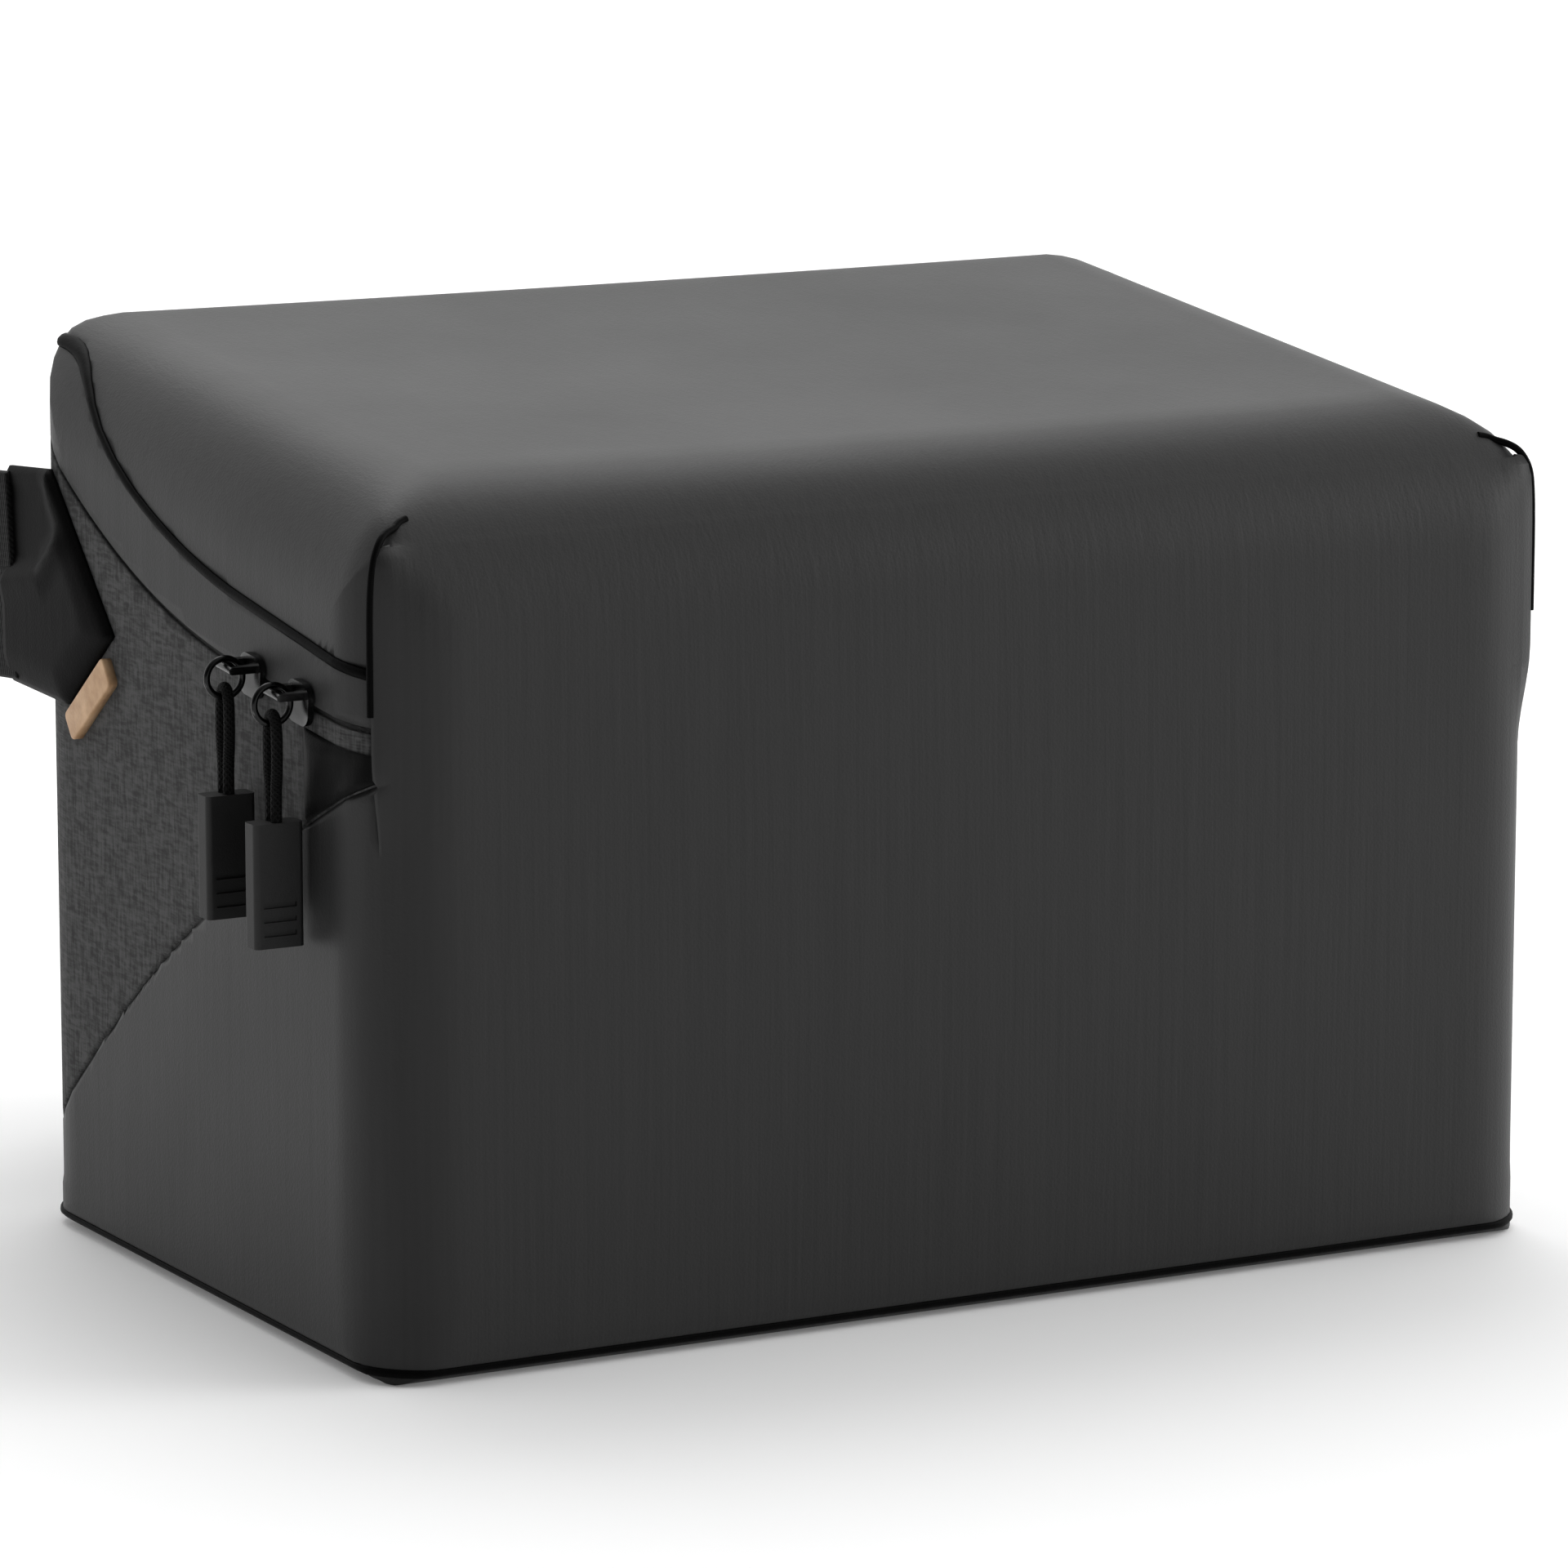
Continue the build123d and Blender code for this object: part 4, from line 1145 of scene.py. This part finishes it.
# %% Braid
def braided_cord_finish():
    material, tree, shader, place = start_material("braided_pull_cord", roughness=0.75, specular=0.12)
    uv = add_node(tree, "ShaderNodeUVMap").outputs["UV"]
    split = add_node(tree, "ShaderNodeSeparateXYZ")
    wire(tree, uv, split.inputs[0])
    along = math_node(tree, "MULTIPLY", split.outputs[0], 44.0)
    around = math_node(tree, "MULTIPLY", split.outputs[1], 6.0)
    one = wave(tree, math_node(tree, "ADD", along, around))
    other = wave(tree, math_node(tree, "SUBTRACT", along, around))
    braid = math_node(tree, "MAXIMUM", one, other)
    paint(tree, shader, braid, grey(0.001), grey(0.004))
    bump(tree, shader, braid, 0.7, 0.3 * MM)
    return material


braid = braided_cord_finish()
for cord in cords.values():
    cord.data.materials.append(braid)

# %% [markdown]
# ## The zip
#
# A coil zip has two woven tapes, each with a spiral of nylon wire sewn along its edge. The tapes
# are ribbons cut from a form just under the outer cloth. The spiral is a real one: a point goes
# round a small circle while it walks along the edge of the opening, which is read from the form.

# %% Tapes
zip_tape = ribbed_tape("zip_tape", grey(0.004), grey(0.010), 1500.0)
TAPE = 0.8 * MM
TAPE_REACH = BINDING_DROP + 2 * MM
TAPES_APART = 0.3 * MM          # the tapes nearly meet behind the coils
tape_form = bag_form(SKIN + 0.1 * MM)
for offset in (-TAPE_REACH, -TAPES_APART / 2, TAPES_APART / 2, TAPE_REACH):
    slice_along(tape_form, zip_line, offset)
slice_flat(tape_form, (0, DART_Y, 0), (0, 1, 0))


def between_lines(low, high):
    """A test for the part of the form between two offsets from the zip line."""
    return lambda p: p.y > DART_Y and zip_line(p.y) + low < p.z < zip_line(p.y) + high


cut_piece("zip_tape_of_body", tape_form, between_lines(-TAPE_REACH, -TAPES_APART / 2),
          "body", zip_tape, ("lower_zipper_tape",), thickness=TAPE)
cut_piece("zip_tape_of_lid", tape_form, between_lines(TAPES_APART / 2, TAPE_REACH),
          "lid", zip_tape, ("upper_zipper_tape",), thickness=TAPE)

# %% The path of a coil
COIL_PITCH = 1.5 * MM
COIL_R = 0.8 * MM
WIRE_R = 0.34 * MM
COIL_SIDES = 6                  # points in one turn


def edge_path(offset, inset):
    """Points along a line of the side view, round the sides and back of a form, from left to right."""
    bm = bag_form(inset)
    slice_along(bm, zip_line, offset)
    slice_flat(bm, (0, DART_Y, 0), (0, 1, 0))
    line = {v for v in bm.verts
            if abs(v.co.z - zip_line(v.co.y) - offset) < 0.01 * MM and v.co.y > DART_Y - 0.01 * MM}
    start = min(line, key=lambda v: v.co.y * 10 + v.co.x)
    path, here = [], start
    while here is not None:
        path.append(here.co.copy())
        line.discard(here)
        ahead = [e.other_vert(here) for e in here.link_edges if e.other_vert(here) in line]
        here = min(ahead, key=lambda v: (v.co - path[-1]).length) if ahead else None
    bm.free()
    return path


def evenly(path, step):
    """The path again, with points at even distances."""
    points, spare = [path[0].copy()], 0.0
    for a, b in zip(path, path[1:]):
        length = (b - a).length
        place = step - spare
        while place <= length:
            points.append(a.lerp(b, place / length))
            place += step
        spare = (spare + length) % step
    return points


def coil_piece(name, offset, body, node):
    """A spiral of wire along one edge of the zip's opening."""
    turns = evenly(edge_path(offset, SKIN + TAPE + COIL_R), COIL_PITCH / COIL_SIDES)
    data = bpy.data.curves.new(name, "CURVE")
    data.dimensions = "3D"
    data.bevel_depth = WIRE_R
    data.bevel_resolution = 0
    spline = data.splines.new("POLY")
    spline.points.add(len(turns) - 1)
    for index, point in enumerate(turns):
        ahead = turns[min(index + 1, len(turns) - 1)] - turns[max(index - 1, 0)]
        inwards = Vector((0, 0, 1)).cross(ahead).normalized()
        angle = tau * index / COIL_SIDES
        place = point + inwards * COIL_R * cos(angle) + Vector((0, 0, 1)) * COIL_R * sin(angle)
        spline.points[index].co = (*place, 1.0)
    route = bpy.data.objects.new(name + "_route", data)
    kept_as_mesh(route, name, coil_nylon, body, (node,))


coil_nylon = moulded("coil_nylon", grey(0.004), grey(0.010), 0.3, 3000.0, 0.1)
COIL_MIDDLE = TEETH_GAP / 2 + 0.2 * MM
coil_piece("zip_coil_of_body", -COIL_MIDDLE, "body", "lower_zipper_coil")
coil_piece("zip_coil_of_lid", COIL_MIDDLE, "lid", "upper_zipper_coil")

# %% [markdown]
# ## Gussets at the ends of the zip
#
# Where the zip stops, a small gusset of thin coated cloth joins the band to the side, so that the
# corner can open. Closed, it folds into two facets with a dark hollow by the corner. It is a small
# grid laid on the side of the bag: one edge follows the zip, one follows the diagonal seam, and a
# fold line between them is pushed in while the facets on each side of it stand out.

# %% Gusset cloth and shape
# Painted shade: the gusset's cloth is near-black, far darker than the cover, to darken the hollow under the
# band's corner.
gusset_painted_shade_cloth = coated_cloth("gusset_painted_shade_cloth", grey(0.002), grey(0.005), specular=0.06)
GUSSET_BACK = 30.0 * MM
GUSSET_ROWS = 18
GUSSET_CLOTH = 0.35 * MM
GUSSET_PROUD = 1.8 * MM
GUSSET_OFF = 0.15 * MM          # its edges lie this far outside the side cloth
GUSSET_BELOW_ZIP = 5.7 * MM
FOLD_SOFTNESS = 0.3             # share of the gusset over which a facet comes forward


def place_on_corner(y, proud, side):
    """A point on the side of the bag, which rolls in towards the front, at a distance outside it."""
    centre_y = FRONT_Y + FRONT_CORNER_R
    if y >= centre_y:
        return side * (HALF_W + proud), y
    turn = (centre_y - y) / FRONT_CORNER_R
    return (side * (HALF_W - FRONT_CORNER_R + (FRONT_CORNER_R + proud) * cos(turn)),
            centre_y - (FRONT_CORNER_R + proud) * sin(turn))


def gusset_piece(side_name, side):
    """A grid between the seam and the zip, pushed in along its fold."""
    bm = bmesh.new()
    bmesh.ops.create_grid(bm, x_segments=GUSSET_ROWS, y_segments=GUSSET_ROWS, size=0.5)
    for vert in bm.verts:
        u, v = vert.co.x + 0.5, vert.co.y + 0.5
        y = DART_Y - 1.5 * MM + GUSSET_BACK * u
        low = seam_line(y) + 0.2 * MM
        high = zip_line(y) - GUSSET_BELOW_ZIP
        z = low + (high - low) * v
        fold = u * 0.9 + v * 0.35 - 0.52
        facets = min(abs(fold) / FOLD_SOFTNESS, 1.0)
        edge = min(u, 1 - u, v, 1 - v) * 6
        proud = GUSSET_OFF + GUSSET_PROUD * facets * min(edge, 1.0) * (0.55 + 0.45 * u)
        x, y = place_on_corner(y, proud, side)
        vert.co = (x, y, z)
    bmesh.ops.recalc_face_normals(bm, faces=bm.faces[:])
    outwards = sum(f.normal.x for f in bm.faces) * side
    if outwards < 0:
        bmesh.ops.reverse_faces(bm, faces=bm.faces[:])
    gusset = piece_of(f"gusset_{side_name}", bm, "body", gusset_painted_shade_cloth,
                      (f"zip_gusset_{side_name}",))
    thicken(gusset, GUSSET_CLOTH)


for side_name, side in SIDES:
    gusset_piece(side_name, side)

# %% [markdown]
# ## Webbing
#
# The strap is seat-belt webbing: close ribs along its length and a hard woven edge. Webbing is
# nearly stiff across its width, so it bends and twists but never stretches. It is made as one
# cross-section carried along a path, and at each step the section is turned to face along the path
# and rolled to the direction that its width points in. A cloth simulation would lose the flat
# section, which is why straps are made along a given path.

# %% Webbing finish
def webbing_finish():
    material, tree, shader, place = start_material("strap_webbing", roughness=0.62, specular=0.08)
    uv = add_node(tree, "ShaderNodeUVMap").outputs["UV"]
    split = add_node(tree, "ShaderNodeSeparateXYZ")
    wire(tree, uv, split.inputs[0])
    across = math_node(tree, "MULTIPLY", split.outputs[1], 720.0)
    along = math_node(tree, "MULTIPLY", split.outputs[0], 900.0)
    ribs = wave(tree, across)
    twill = wave(tree, math_node(tree, "ADD", along, math_node(tree, "MULTIPLY", across, 0.5)))
    weave = mixed(tree, ribs, 0.3, twill, 0.2)
    weave = math_node(tree, "ADD", weave, 0.5)
    patches = use_group(tree, mottle_group, place, Patches_per_metre=70.0)
    mix = mixed(tree, weave, 0.6, patches, 0.4)
    paint(tree, shader, mix, grey(0.003), grey(0.008), 0.2, 0.8)
    bump(tree, shader, weave, 0.6, 0.4 * MM)
    return material


webbing = webbing_finish()


# %% Webbing along a path
WEBBING_ROWS = 10               # faces across the width
EDGE_ROUNDING = 0.42            # the edge is cut back by this share of the thickness


def smooth_path(stations, steps):
    """Catmull-Rom points between stations of position and width direction."""
    out = []
    for index in range(len(stations) - 1):
        four = [stations[min(max(index + k, 0), len(stations) - 1)] for k in (-1, 0, 1, 2)]
        for step in range(steps):
            t = step / steps
            pair = []
            for part in (0, 1):
                a, b, c, d = (station[part] for station in four)
                pair.append(0.5 * (2 * b + (c - a) * t + (2 * a - 5 * b + 4 * c - d) * t * t
                                   + (3 * b - a - 3 * c + d) * t * t * t))
            out.append((pair[0], pair[1].normalized()))
    return out + [stations[-1]]


def webbing_piece(name, path, width, thickness, node):
    """Webbing of one width and thickness along points with their width directions."""
    bm = bmesh.new()
    uv = bm.loops.layers.uv.new("strap")
    place = bm.verts.layers.float_vector.new("place")
    edge_r = thickness * EDGE_ROUNDING
    half, deep = width / 2, thickness / 2
    top = [(-half + width * row / WEBBING_ROWS, deep) for row in range(WEBBING_ROWS + 1)]
    top[0], top[-1] = (-half + edge_r, deep), (half - edge_r, deep)
    section = [(-half, 0), *top, (half, 0), *[(across, -deep) for across, _ in reversed(top)]]
    verts = [bm.verts.new((across, up, 0)) for across, up in section]
    bm.faces.new(verts)
    for vert, (across, up) in zip(verts, section):
        vert[place] = (across, up, 0)
    ring = list(bm.edges)
    walked = 0.0
    for index, (point, across) in enumerate(path):
        ahead = path[min(index + 1, len(path) - 1)][0] - path[max(index - 1, 0)][0]
        ahead.normalize()
        wide = (across - ahead * across.dot(ahead)).normalized()
        up = ahead.cross(wide)
        if index:
            ring, verts = next_hoop(bm, ring)
            walked += (point - path[index - 1][0]).length
        for vert in verts:
            share = vert[place]
            vert.co = point + wide * share.x + up * share.y
            vert[place] = (share.x, share.y, walked)
    bmesh.ops.edgeloop_fill(bm, edges=ring)
    for face in bm.faces:
        for loop in face.loops:
            loop[uv].uv = (loop.vert[place].z, loop.vert[place].x + loop.vert[place].y)
    bmesh.ops.recalc_face_normals(bm, faces=bm.faces[:])
    bm.verts.layers.float_vector.remove(place)
    piece_of(name, bm, "body", webbing, (node,))


# %% The hanging strap
STRAP_W = 50.0 * MM
STRAP = 1.8 * MM
WING = 3.5 * MM
ANCHOR_X = HALF_W + WING / 2
STRAP_Z = top_of(BACK_Y) - 63 * MM
RUN_Y = BACK_Y + 55 * MM
WING_END = 2.0 * MM
SEWN_IN = 6.0 * MM              # the webbing starts this far in front of the back wall
ring_low, ring_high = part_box("square_ring")
RING_X = (ring_low[0] + ring_high[0]) / 2
RING_BAR = 3.2 * MM
RING_THICK = ring_high[2] - ring_low[2]
CLEAR = 0.3 * MM
UPPER_Z = 1.5 * STRAP + RING_THICK + 2 * CLEAR

# in from the anchor and out from the back, in millimetres, and the share of the anchor's height
LEFT_FALL = ((0, -SEWN_IN / MM, 1), (0, 18, 0.987), (6, 40, 0.968), (24, 56, 0.95), (48, 62, 0.90),
             (72, 63, 0.77), (90, 61, 0.57), (106, 58, 0.335), (126, 56, 0.14))
RIGHT_FALL = ((0, -SEWN_IN / MM, 1), (0, 16, 0.98), (4, 34, 0.91), (11, 47, 0.79), (17, 54, 0.63),
              (20, 57, 0.45), (22, 57, 0.28), (27, 56, 0.13), (38, 55.5, 0.05))
FLOOR_IN = {"left": 150 * MM, "right": 50 * MM}
TAIL_X = {"left": RING_X - 84 * MM, "right": RING_X + 26 * MM}


def strap_path(side_name, fall):
    """Down from the anchor, flat along the floor, round the ring's bar and back underneath."""
    side = -1 if side_name == "left" else 1
    stations = []
    for index, (inwards, out, share) in enumerate(fall):
        turn = radians(90 * index / len(fall))
        stations.append((Vector((side * (ANCHOR_X - inwards * MM), BACK_Y + out * MM, STRAP_Z * share)),
                         Vector((0, side * sin(turn), cos(turn)))))
    level = Vector((0, side, 0))
    stations.append((Vector((side * (ANCHOR_X - FLOOR_IN[side_name]), RUN_Y, UPPER_Z)), level))
    path = smooth_path(stations, 10)
    turn_x = RING_X + side * ((ring_high[0] - ring_low[0]) / 2 - RING_BAR - CLEAR - STRAP)
    middle_z, radius = (UPPER_Z + STRAP / 2) / 2, (UPPER_Z - STRAP / 2) / 2
    path.append((Vector((turn_x, RUN_Y, UPPER_Z)), level))
    for step in range(1, 9):
        angle = pi * step / 8
        x, z = turn_x - side * sin(angle) * radius * 0.6, middle_z + radius * cos(angle)
        path.append((Vector((x, RUN_Y, z)), level))
    path.append((Vector((TAIL_X[side_name], RUN_Y, STRAP / 2)), level))
    return path


for side_name, fall in (("left", LEFT_FALL), ("right", RIGHT_FALL)):
    webbing_piece(f"strap_{side_name}_webbing", strap_path(side_name, fall), STRAP_W, STRAP,
                  f"strap_{side_name}")

# %% [markdown]
# ## Wings that hold the strap
#
# Each end of the strap is boxed into a padded wing of smooth coated cloth, sewn into the slanting
# seam on the side. The pull of the strap folds the wing along one line: above it the wing is
# hollow, below it a facet catches the light. The wing starts as a grid between its lower and upper
# edges and is swollen like a cushion, then creased.

# %% Shape of a wing
# Partly painted shade: the wing's cloth is near-black, darker than the strap's webbing; this is the wing's
# own black and also the shade of its hollow upper facet.
wing_cloth_with_painted_shade = coated_cloth("wing_cloth_with_painted_shade", grey(0.0010), grey(0.0030), specular=0.03)
WING_TOP = (BACK_Y - 26 * MM, top_of(BACK_Y) - 35 * MM)
WING_FOOT = (BACK_Y - 61 * MM, top_of(BACK_Y) - 70 * MM)
WING_CORNER = (BACK_Y - 34.6 * MM, top_of(BACK_Y) - 90 * MM)
WING_BACK = BACK_Y - WING_END
WING_HALF = 26 * MM
WING_ROWS = 30
WING_EDGE = 0.9 * MM            # thickness where the wing is sewn down
WING_HOLLOW = 2.0 * MM
WING_CREST = 1.0 * MM           # the crease stands out by this much


def along_edge(points, share):
    """A point at a share of the length of a line with corners."""
    lengths = [hypot(b[0] - a[0], b[1] - a[1]) for a, b in zip(points, points[1:])]
    left = share * sum(lengths)
    for a, b, length in zip(points, points[1:], lengths):
        if left <= length or b is points[-1]:
            t = min(left / length, 1.0)
            return a[0] + (b[0] - a[0]) * t, a[1] + (b[1] - a[1]) * t
        left -= length


def wing_piece(side_name, side):
    """A grid between the wing's lower and upper edges, swollen, creased and closed at the back."""
    lower = (WING_FOOT, WING_CORNER, (WING_BACK, STRAP_Z - WING_HALF))
    upper = (WING_TOP, (WING_BACK, STRAP_Z + WING_HALF))
    bm = bmesh.new()
    uv = bm.loops.layers.uv.new("strap")
    bmesh.ops.create_grid(bm, x_segments=WING_ROWS, y_segments=WING_ROWS, size=0.5)
    for vert in bm.verts:
        u, v = vert.co.x + 0.5, vert.co.y + 0.5
        low, high = along_edge(lower, u), along_edge(upper, u)
        y, z = low[0] + (high[0] - low[0]) * v, low[1] + (high[1] - low[1]) * v
        swell = sqrt(min(min(u, v, 1 - v) * 7, 1.0))
        crease_v = 0.62 - 0.16 * u
        hollow = ease((v - crease_v) / 0.12) * (1 - ease((v - 0.86) / 0.14)) * ease(u / 0.3)
        crest = max(1 - abs(v - crease_v) / 0.10, 0) * ease(u / 0.25)
        proud = WING_EDGE + (WING - WING_EDGE) * swell - WING_HOLLOW * hollow + WING_CREST * crest
        vert.co = (side * (HALF_W + proud), y, z)
    for face in bm.faces:
        for loop in face.loops:
            loop[uv].uv = (loop.vert.co.y, loop.vert.co.z)
    rim, verts = next_hoop(bm, [e for e in bm.edges if e.is_boundary])
    for vert in verts:
        vert.co.x = side * (HALF_W + 0.1 * MM)
    bmesh.ops.edgeloop_fill(bm, edges=[e for e in rim if e.is_boundary])
    bmesh.ops.recalc_face_normals(bm, faces=bm.faces[:])
    wing = piece_of(f"wing_{side_name}", bm, "body", wing_cloth_with_painted_shade, (f"strap_wing_{side_name}",))


for side_name, side in SIDES:
    wing_piece(side_name, side)

# %% [markdown]
# ### Leather bars
#
# A short bar of tan leather is sewn below each wing. Leather is cut from a sheet, so its faces are
# grained; here its burnished edges keep the colour of its faces. The bar is a rounded block with its top edge
# eased.

# %% Leather
def leather_finish():
    material, tree, shader, place = start_material("tan_leather", roughness=0.5, specular=0.4)
    grain = add_node(tree, "ShaderNodeTexVoronoi", Scale=1100.0)
    wire(tree, place, grain.inputs["Vector"])
    patches = use_group(tree, mottle_group, place, Patches_per_metre=160.0)
    paint(tree, shader, patches, (0.42, 0.24, 0.12), (0.62, 0.40, 0.23), 0.3, 0.7)
    bump(tree, shader, grain.outputs["Distance"], 0.35, 0.2 * MM)
    return material


leather = leather_finish()
BAR = (28.0 * MM, 7.5 * MM, 2.4 * MM)       # length, height and thickness
BAR_CORNER_R = 1.5 * MM
BAR_EDGE_R = 0.45 * MM


def leather_bar(side_name, side):
    """A rounded block along the lower edge of a wing."""
    low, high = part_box(f"wing_tab_{side_name}")
    middle = Vector((side * (HALF_W + BAR[2] / 2), (low[1] + high[1]) / 2, (low[2] + high[2]) / 2))
    slope = (WING_CORNER[1] - WING_FOOT[1]) / (WING_CORNER[0] - WING_FOOT[0])
    bm = bmesh.new()
    bmesh.ops.create_cube(bm, size=1.0)
    bmesh.ops.scale(bm, vec=(BAR[2], BAR[0], BAR[1]), verts=bm.verts)
    ends = [e for e in bm.edges if abs(e.verts[0].co.y - e.verts[1].co.y) < 1e-6
            and abs(e.verts[0].co.z - e.verts[1].co.z) < 1e-6]
    bmesh.ops.bevel(bm, geom=ends, offset=BAR_CORNER_R, offset_type="OFFSET", segments=6, profile=0.5,
                    affect="EDGES", material=-1)
    rim = [e for e in bm.edges if all(v.co.x * side > BAR[2] * 0.49 for v in e.verts)]
    bmesh.ops.bevel(bm, geom=rim, offset=BAR_EDGE_R, offset_type="OFFSET", segments=3, profile=0.5,
                    affect="EDGES", material=-1)
    turn = Matrix.Rotation(atan2(slope, 1), 4, "X")
    bmesh.ops.transform(bm, matrix=Matrix.Translation(middle) @ turn, verts=bm.verts)
    piece_of(f"leather_bar_{side_name}", bm, "body", leather, (f"wing_tab_{side_name}",))


for side_name, side in SIDES:
    leather_bar(side_name, side)

# %% [markdown]
# ## Dividers
#
# Two padded dividers stand across the inside. A divider is a slab of foam in a sewn cover, so it
# has a seam round its rim and swells between. Hook tape at each end holds it to the lining. The
# slab is made as the bag's form is: a rounded outline goes through a row of hoops, each a little
# smaller than the last, which stand out by the swelling and close in on the middle of a face.

# %% Divider cloth
divider_cloth = coated_cloth("divider_cloth", grey(0.018), grey(0.032))
DIVIDER_SWELL = 1.4 * MM
DIVIDER_FOOT_R = {"front": 9.0 * MM, "back": BACK_BOTTOM_R - WALL}
DIVIDER_TOP_R = 5.0 * MM
DIVIDER_GRID = 5.0 * MM
# from the seam inwards: the share of the outline's size, and the share of the swelling
DIVIDER_HOOPS = ((1.0, 0), (0.985, 0), (0.95, 0.55), (0.88, 0.85), (0.7, 1), (0.45, 1), (0.2, 1))


def divider_piece(side_name):
    """A padded slab: its rounded outline is carried through hoops that swell and then close in."""
    node = f"divider_{side_name}"
    low, high = Vector(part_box(node)[0]), Vector(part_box(node)[1])
    centre = (low + high) / 2
    bm = bmesh.new()
    corners = ((low.y, low.z, DIVIDER_FOOT_R["front"]), (high.y, low.z, DIVIDER_FOOT_R["back"]),
               (high.y, high.z, DIVIDER_TOP_R), (low.y, high.z, DIVIDER_TOP_R))
    verts = [bm.verts.new((0, y, z)) for y, z, _ in corners]
    bm.faces.new(verts)
    for vert, (_, _, radius) in zip(verts, corners):
        bmesh.ops.bevel(bm, geom=[vert], offset=radius, offset_type="OFFSET", segments=7, profile=0.5,
                        affect="VERTICES", material=-1)
    for edge in list(bm.edges):
        cuts = int(edge.calc_length() / DIVIDER_GRID)
        if cuts:
            bmesh.ops.subdivide_edges(bm, edges=[edge], cuts=cuts)
    bmesh.ops.delete(bm, geom=bm.faces[:], context="FACES_ONLY")
    home = bm.verts.layers.float_vector.new("home")
    verts, first = list(bm.verts), list(bm.edges)
    for vert in verts:
        vert[home] = vert.co - centre
    seam_half = (high.x - low.x) / 2 - DIVIDER_SWELL
    hoops = [(sense, *hoop) for sense, order in ((-1, reversed(DIVIDER_HOOPS)), (1, DIVIDER_HOOPS))
             for hoop in order]
    ring = first
    for number, (sense, share, swollen) in enumerate(hoops):
        if number:
            ring, verts = next_hoop(bm, ring)
        for vert in verts:
            x = sense * (seam_half + DIVIDER_SWELL * swollen)
            vert.co = centre + Vector((x, vert[home].y * share, vert[home].z * share))
    for rim in (first, ring):
        bmesh.ops.edgeloop_fill(bm, edges=rim)
    bmesh.ops.recalc_face_normals(bm, faces=bm.faces[:])
    piece = piece_of(f"padded_{node}", bm, node, divider_cloth, (node,))


# %% Hook tape
hook_tape = ribbed_tape("hook_tape", grey(0.006), grey(0.018), 700.0, 0.85)
for side_name in ("left", "right"):
    divider_piece(side_name)
repaint(["divider_hooks_left", "divider_hooks_right"], hook_tape)

# %% [markdown]
# ## Floor and light
#
# A plain pale floor and three large soft lamps. A wide lamp over and behind the bag lights the lid,
# which is why the top reads lighter than the front. Weak ones on the left and on the right front
# model the two walls, and the air is darker at the front left so that the corner rolls into shade.
# Far from the bag, out of reach of the lamps, the floor glows a little so that it stays white.

# %% Floor
floor_mesh = bmesh.new()
bmesh.ops.create_grid(floor_mesh, x_segments=8, y_segments=8, size=6.0)
floor = piece_of("studio_floor", floor_mesh, None)
floor_finish, floor_tree, floor_shader, floor_place = start_material(
    "pale_floor", roughness=0.9, specular=0.1)
floor_shader.inputs["Base Color"].default_value = (0.95, 0.95, 0.95, 1)
floor_shader.inputs["Emission Color"].default_value = (1, 1, 1, 1)
from_middle = add_node(floor_tree, "ShaderNodeVectorMath")
from_middle.operation = "LENGTH"
wire(floor_tree, floor_place, from_middle.inputs[0])
far_glow = add_node(floor_tree, "ShaderNodeMapRange")
for socket, value in (("From Min", 0.5), ("From Max", 4.0), ("To Min", 0.10), ("To Max", 0.35)):
    far_glow.inputs[socket].default_value = value
wire(floor_tree, from_middle.outputs["Value"], far_glow.inputs["Value"])
wire(floor_tree, far_glow.outputs["Result"], floor_shader.inputs["Emission Strength"])
floor.data.materials.append(floor_finish)


# %% Lamps
LAMP_AIM = (0, 0, 0.1)


def soft_lamp(name, place, size, power):
    """A round area lamp that looks at the bag."""
    data = bpy.data.lights.new(name, "AREA")
    data.shape = "DISK"
    data.size = size
    data.energy = power
    lamp = put_in_scene(name, data)
    lamp.location = place
    lamp.rotation_euler = (Vector(LAMP_AIM) - Vector(place)).to_track_quat("-Z", "Y").to_euler()


soft_lamp("behind_and_over", (0.3, 1.1, 1.9), 1.6, 17)
soft_lamp("left_side", (-1.9, 0.9, 1.2), 1.2, 0.3)
soft_lamp("right_front", (2.2, -1.2, 1.0), 1.4, 22)

# %% Air of the studio
def studio_air():
    """White all round, but darker towards the front left, where a black card stands in a studio."""
    world = bpy.data.worlds.new("studio_air")
    world.use_nodes = True
    tree = world.node_tree
    direction = add_node(tree, "ShaderNodeTexCoord").outputs["Generated"]
    towards = add_node(tree, "ShaderNodeVectorMath")
    towards.operation = "DOT_PRODUCT"
    towards.inputs[1].default_value = (-0.75, -0.60, 0.28)
    wire(tree, direction, towards.inputs[0])
    fade = add_node(tree, "ShaderNodeMapRange")
    for socket, value in (("From Min", 0.0), ("From Max", 1.0), ("To Min", 1.15), ("To Max", 0.02)):
        fade.inputs[socket].default_value = value
    wire(tree, towards.outputs["Value"], fade.inputs["Value"])
    wire(tree, fade.outputs["Result"], tree.nodes["Background"].inputs["Strength"])
    tree.nodes["Background"].inputs["Color"].default_value = (1, 1, 1, 1)
    return world


bpy.context.scene.world = studio_air()
bpy.context.scene.view_settings.view_transform = "Standard"
print("lamps:", len(bpy.data.lights))
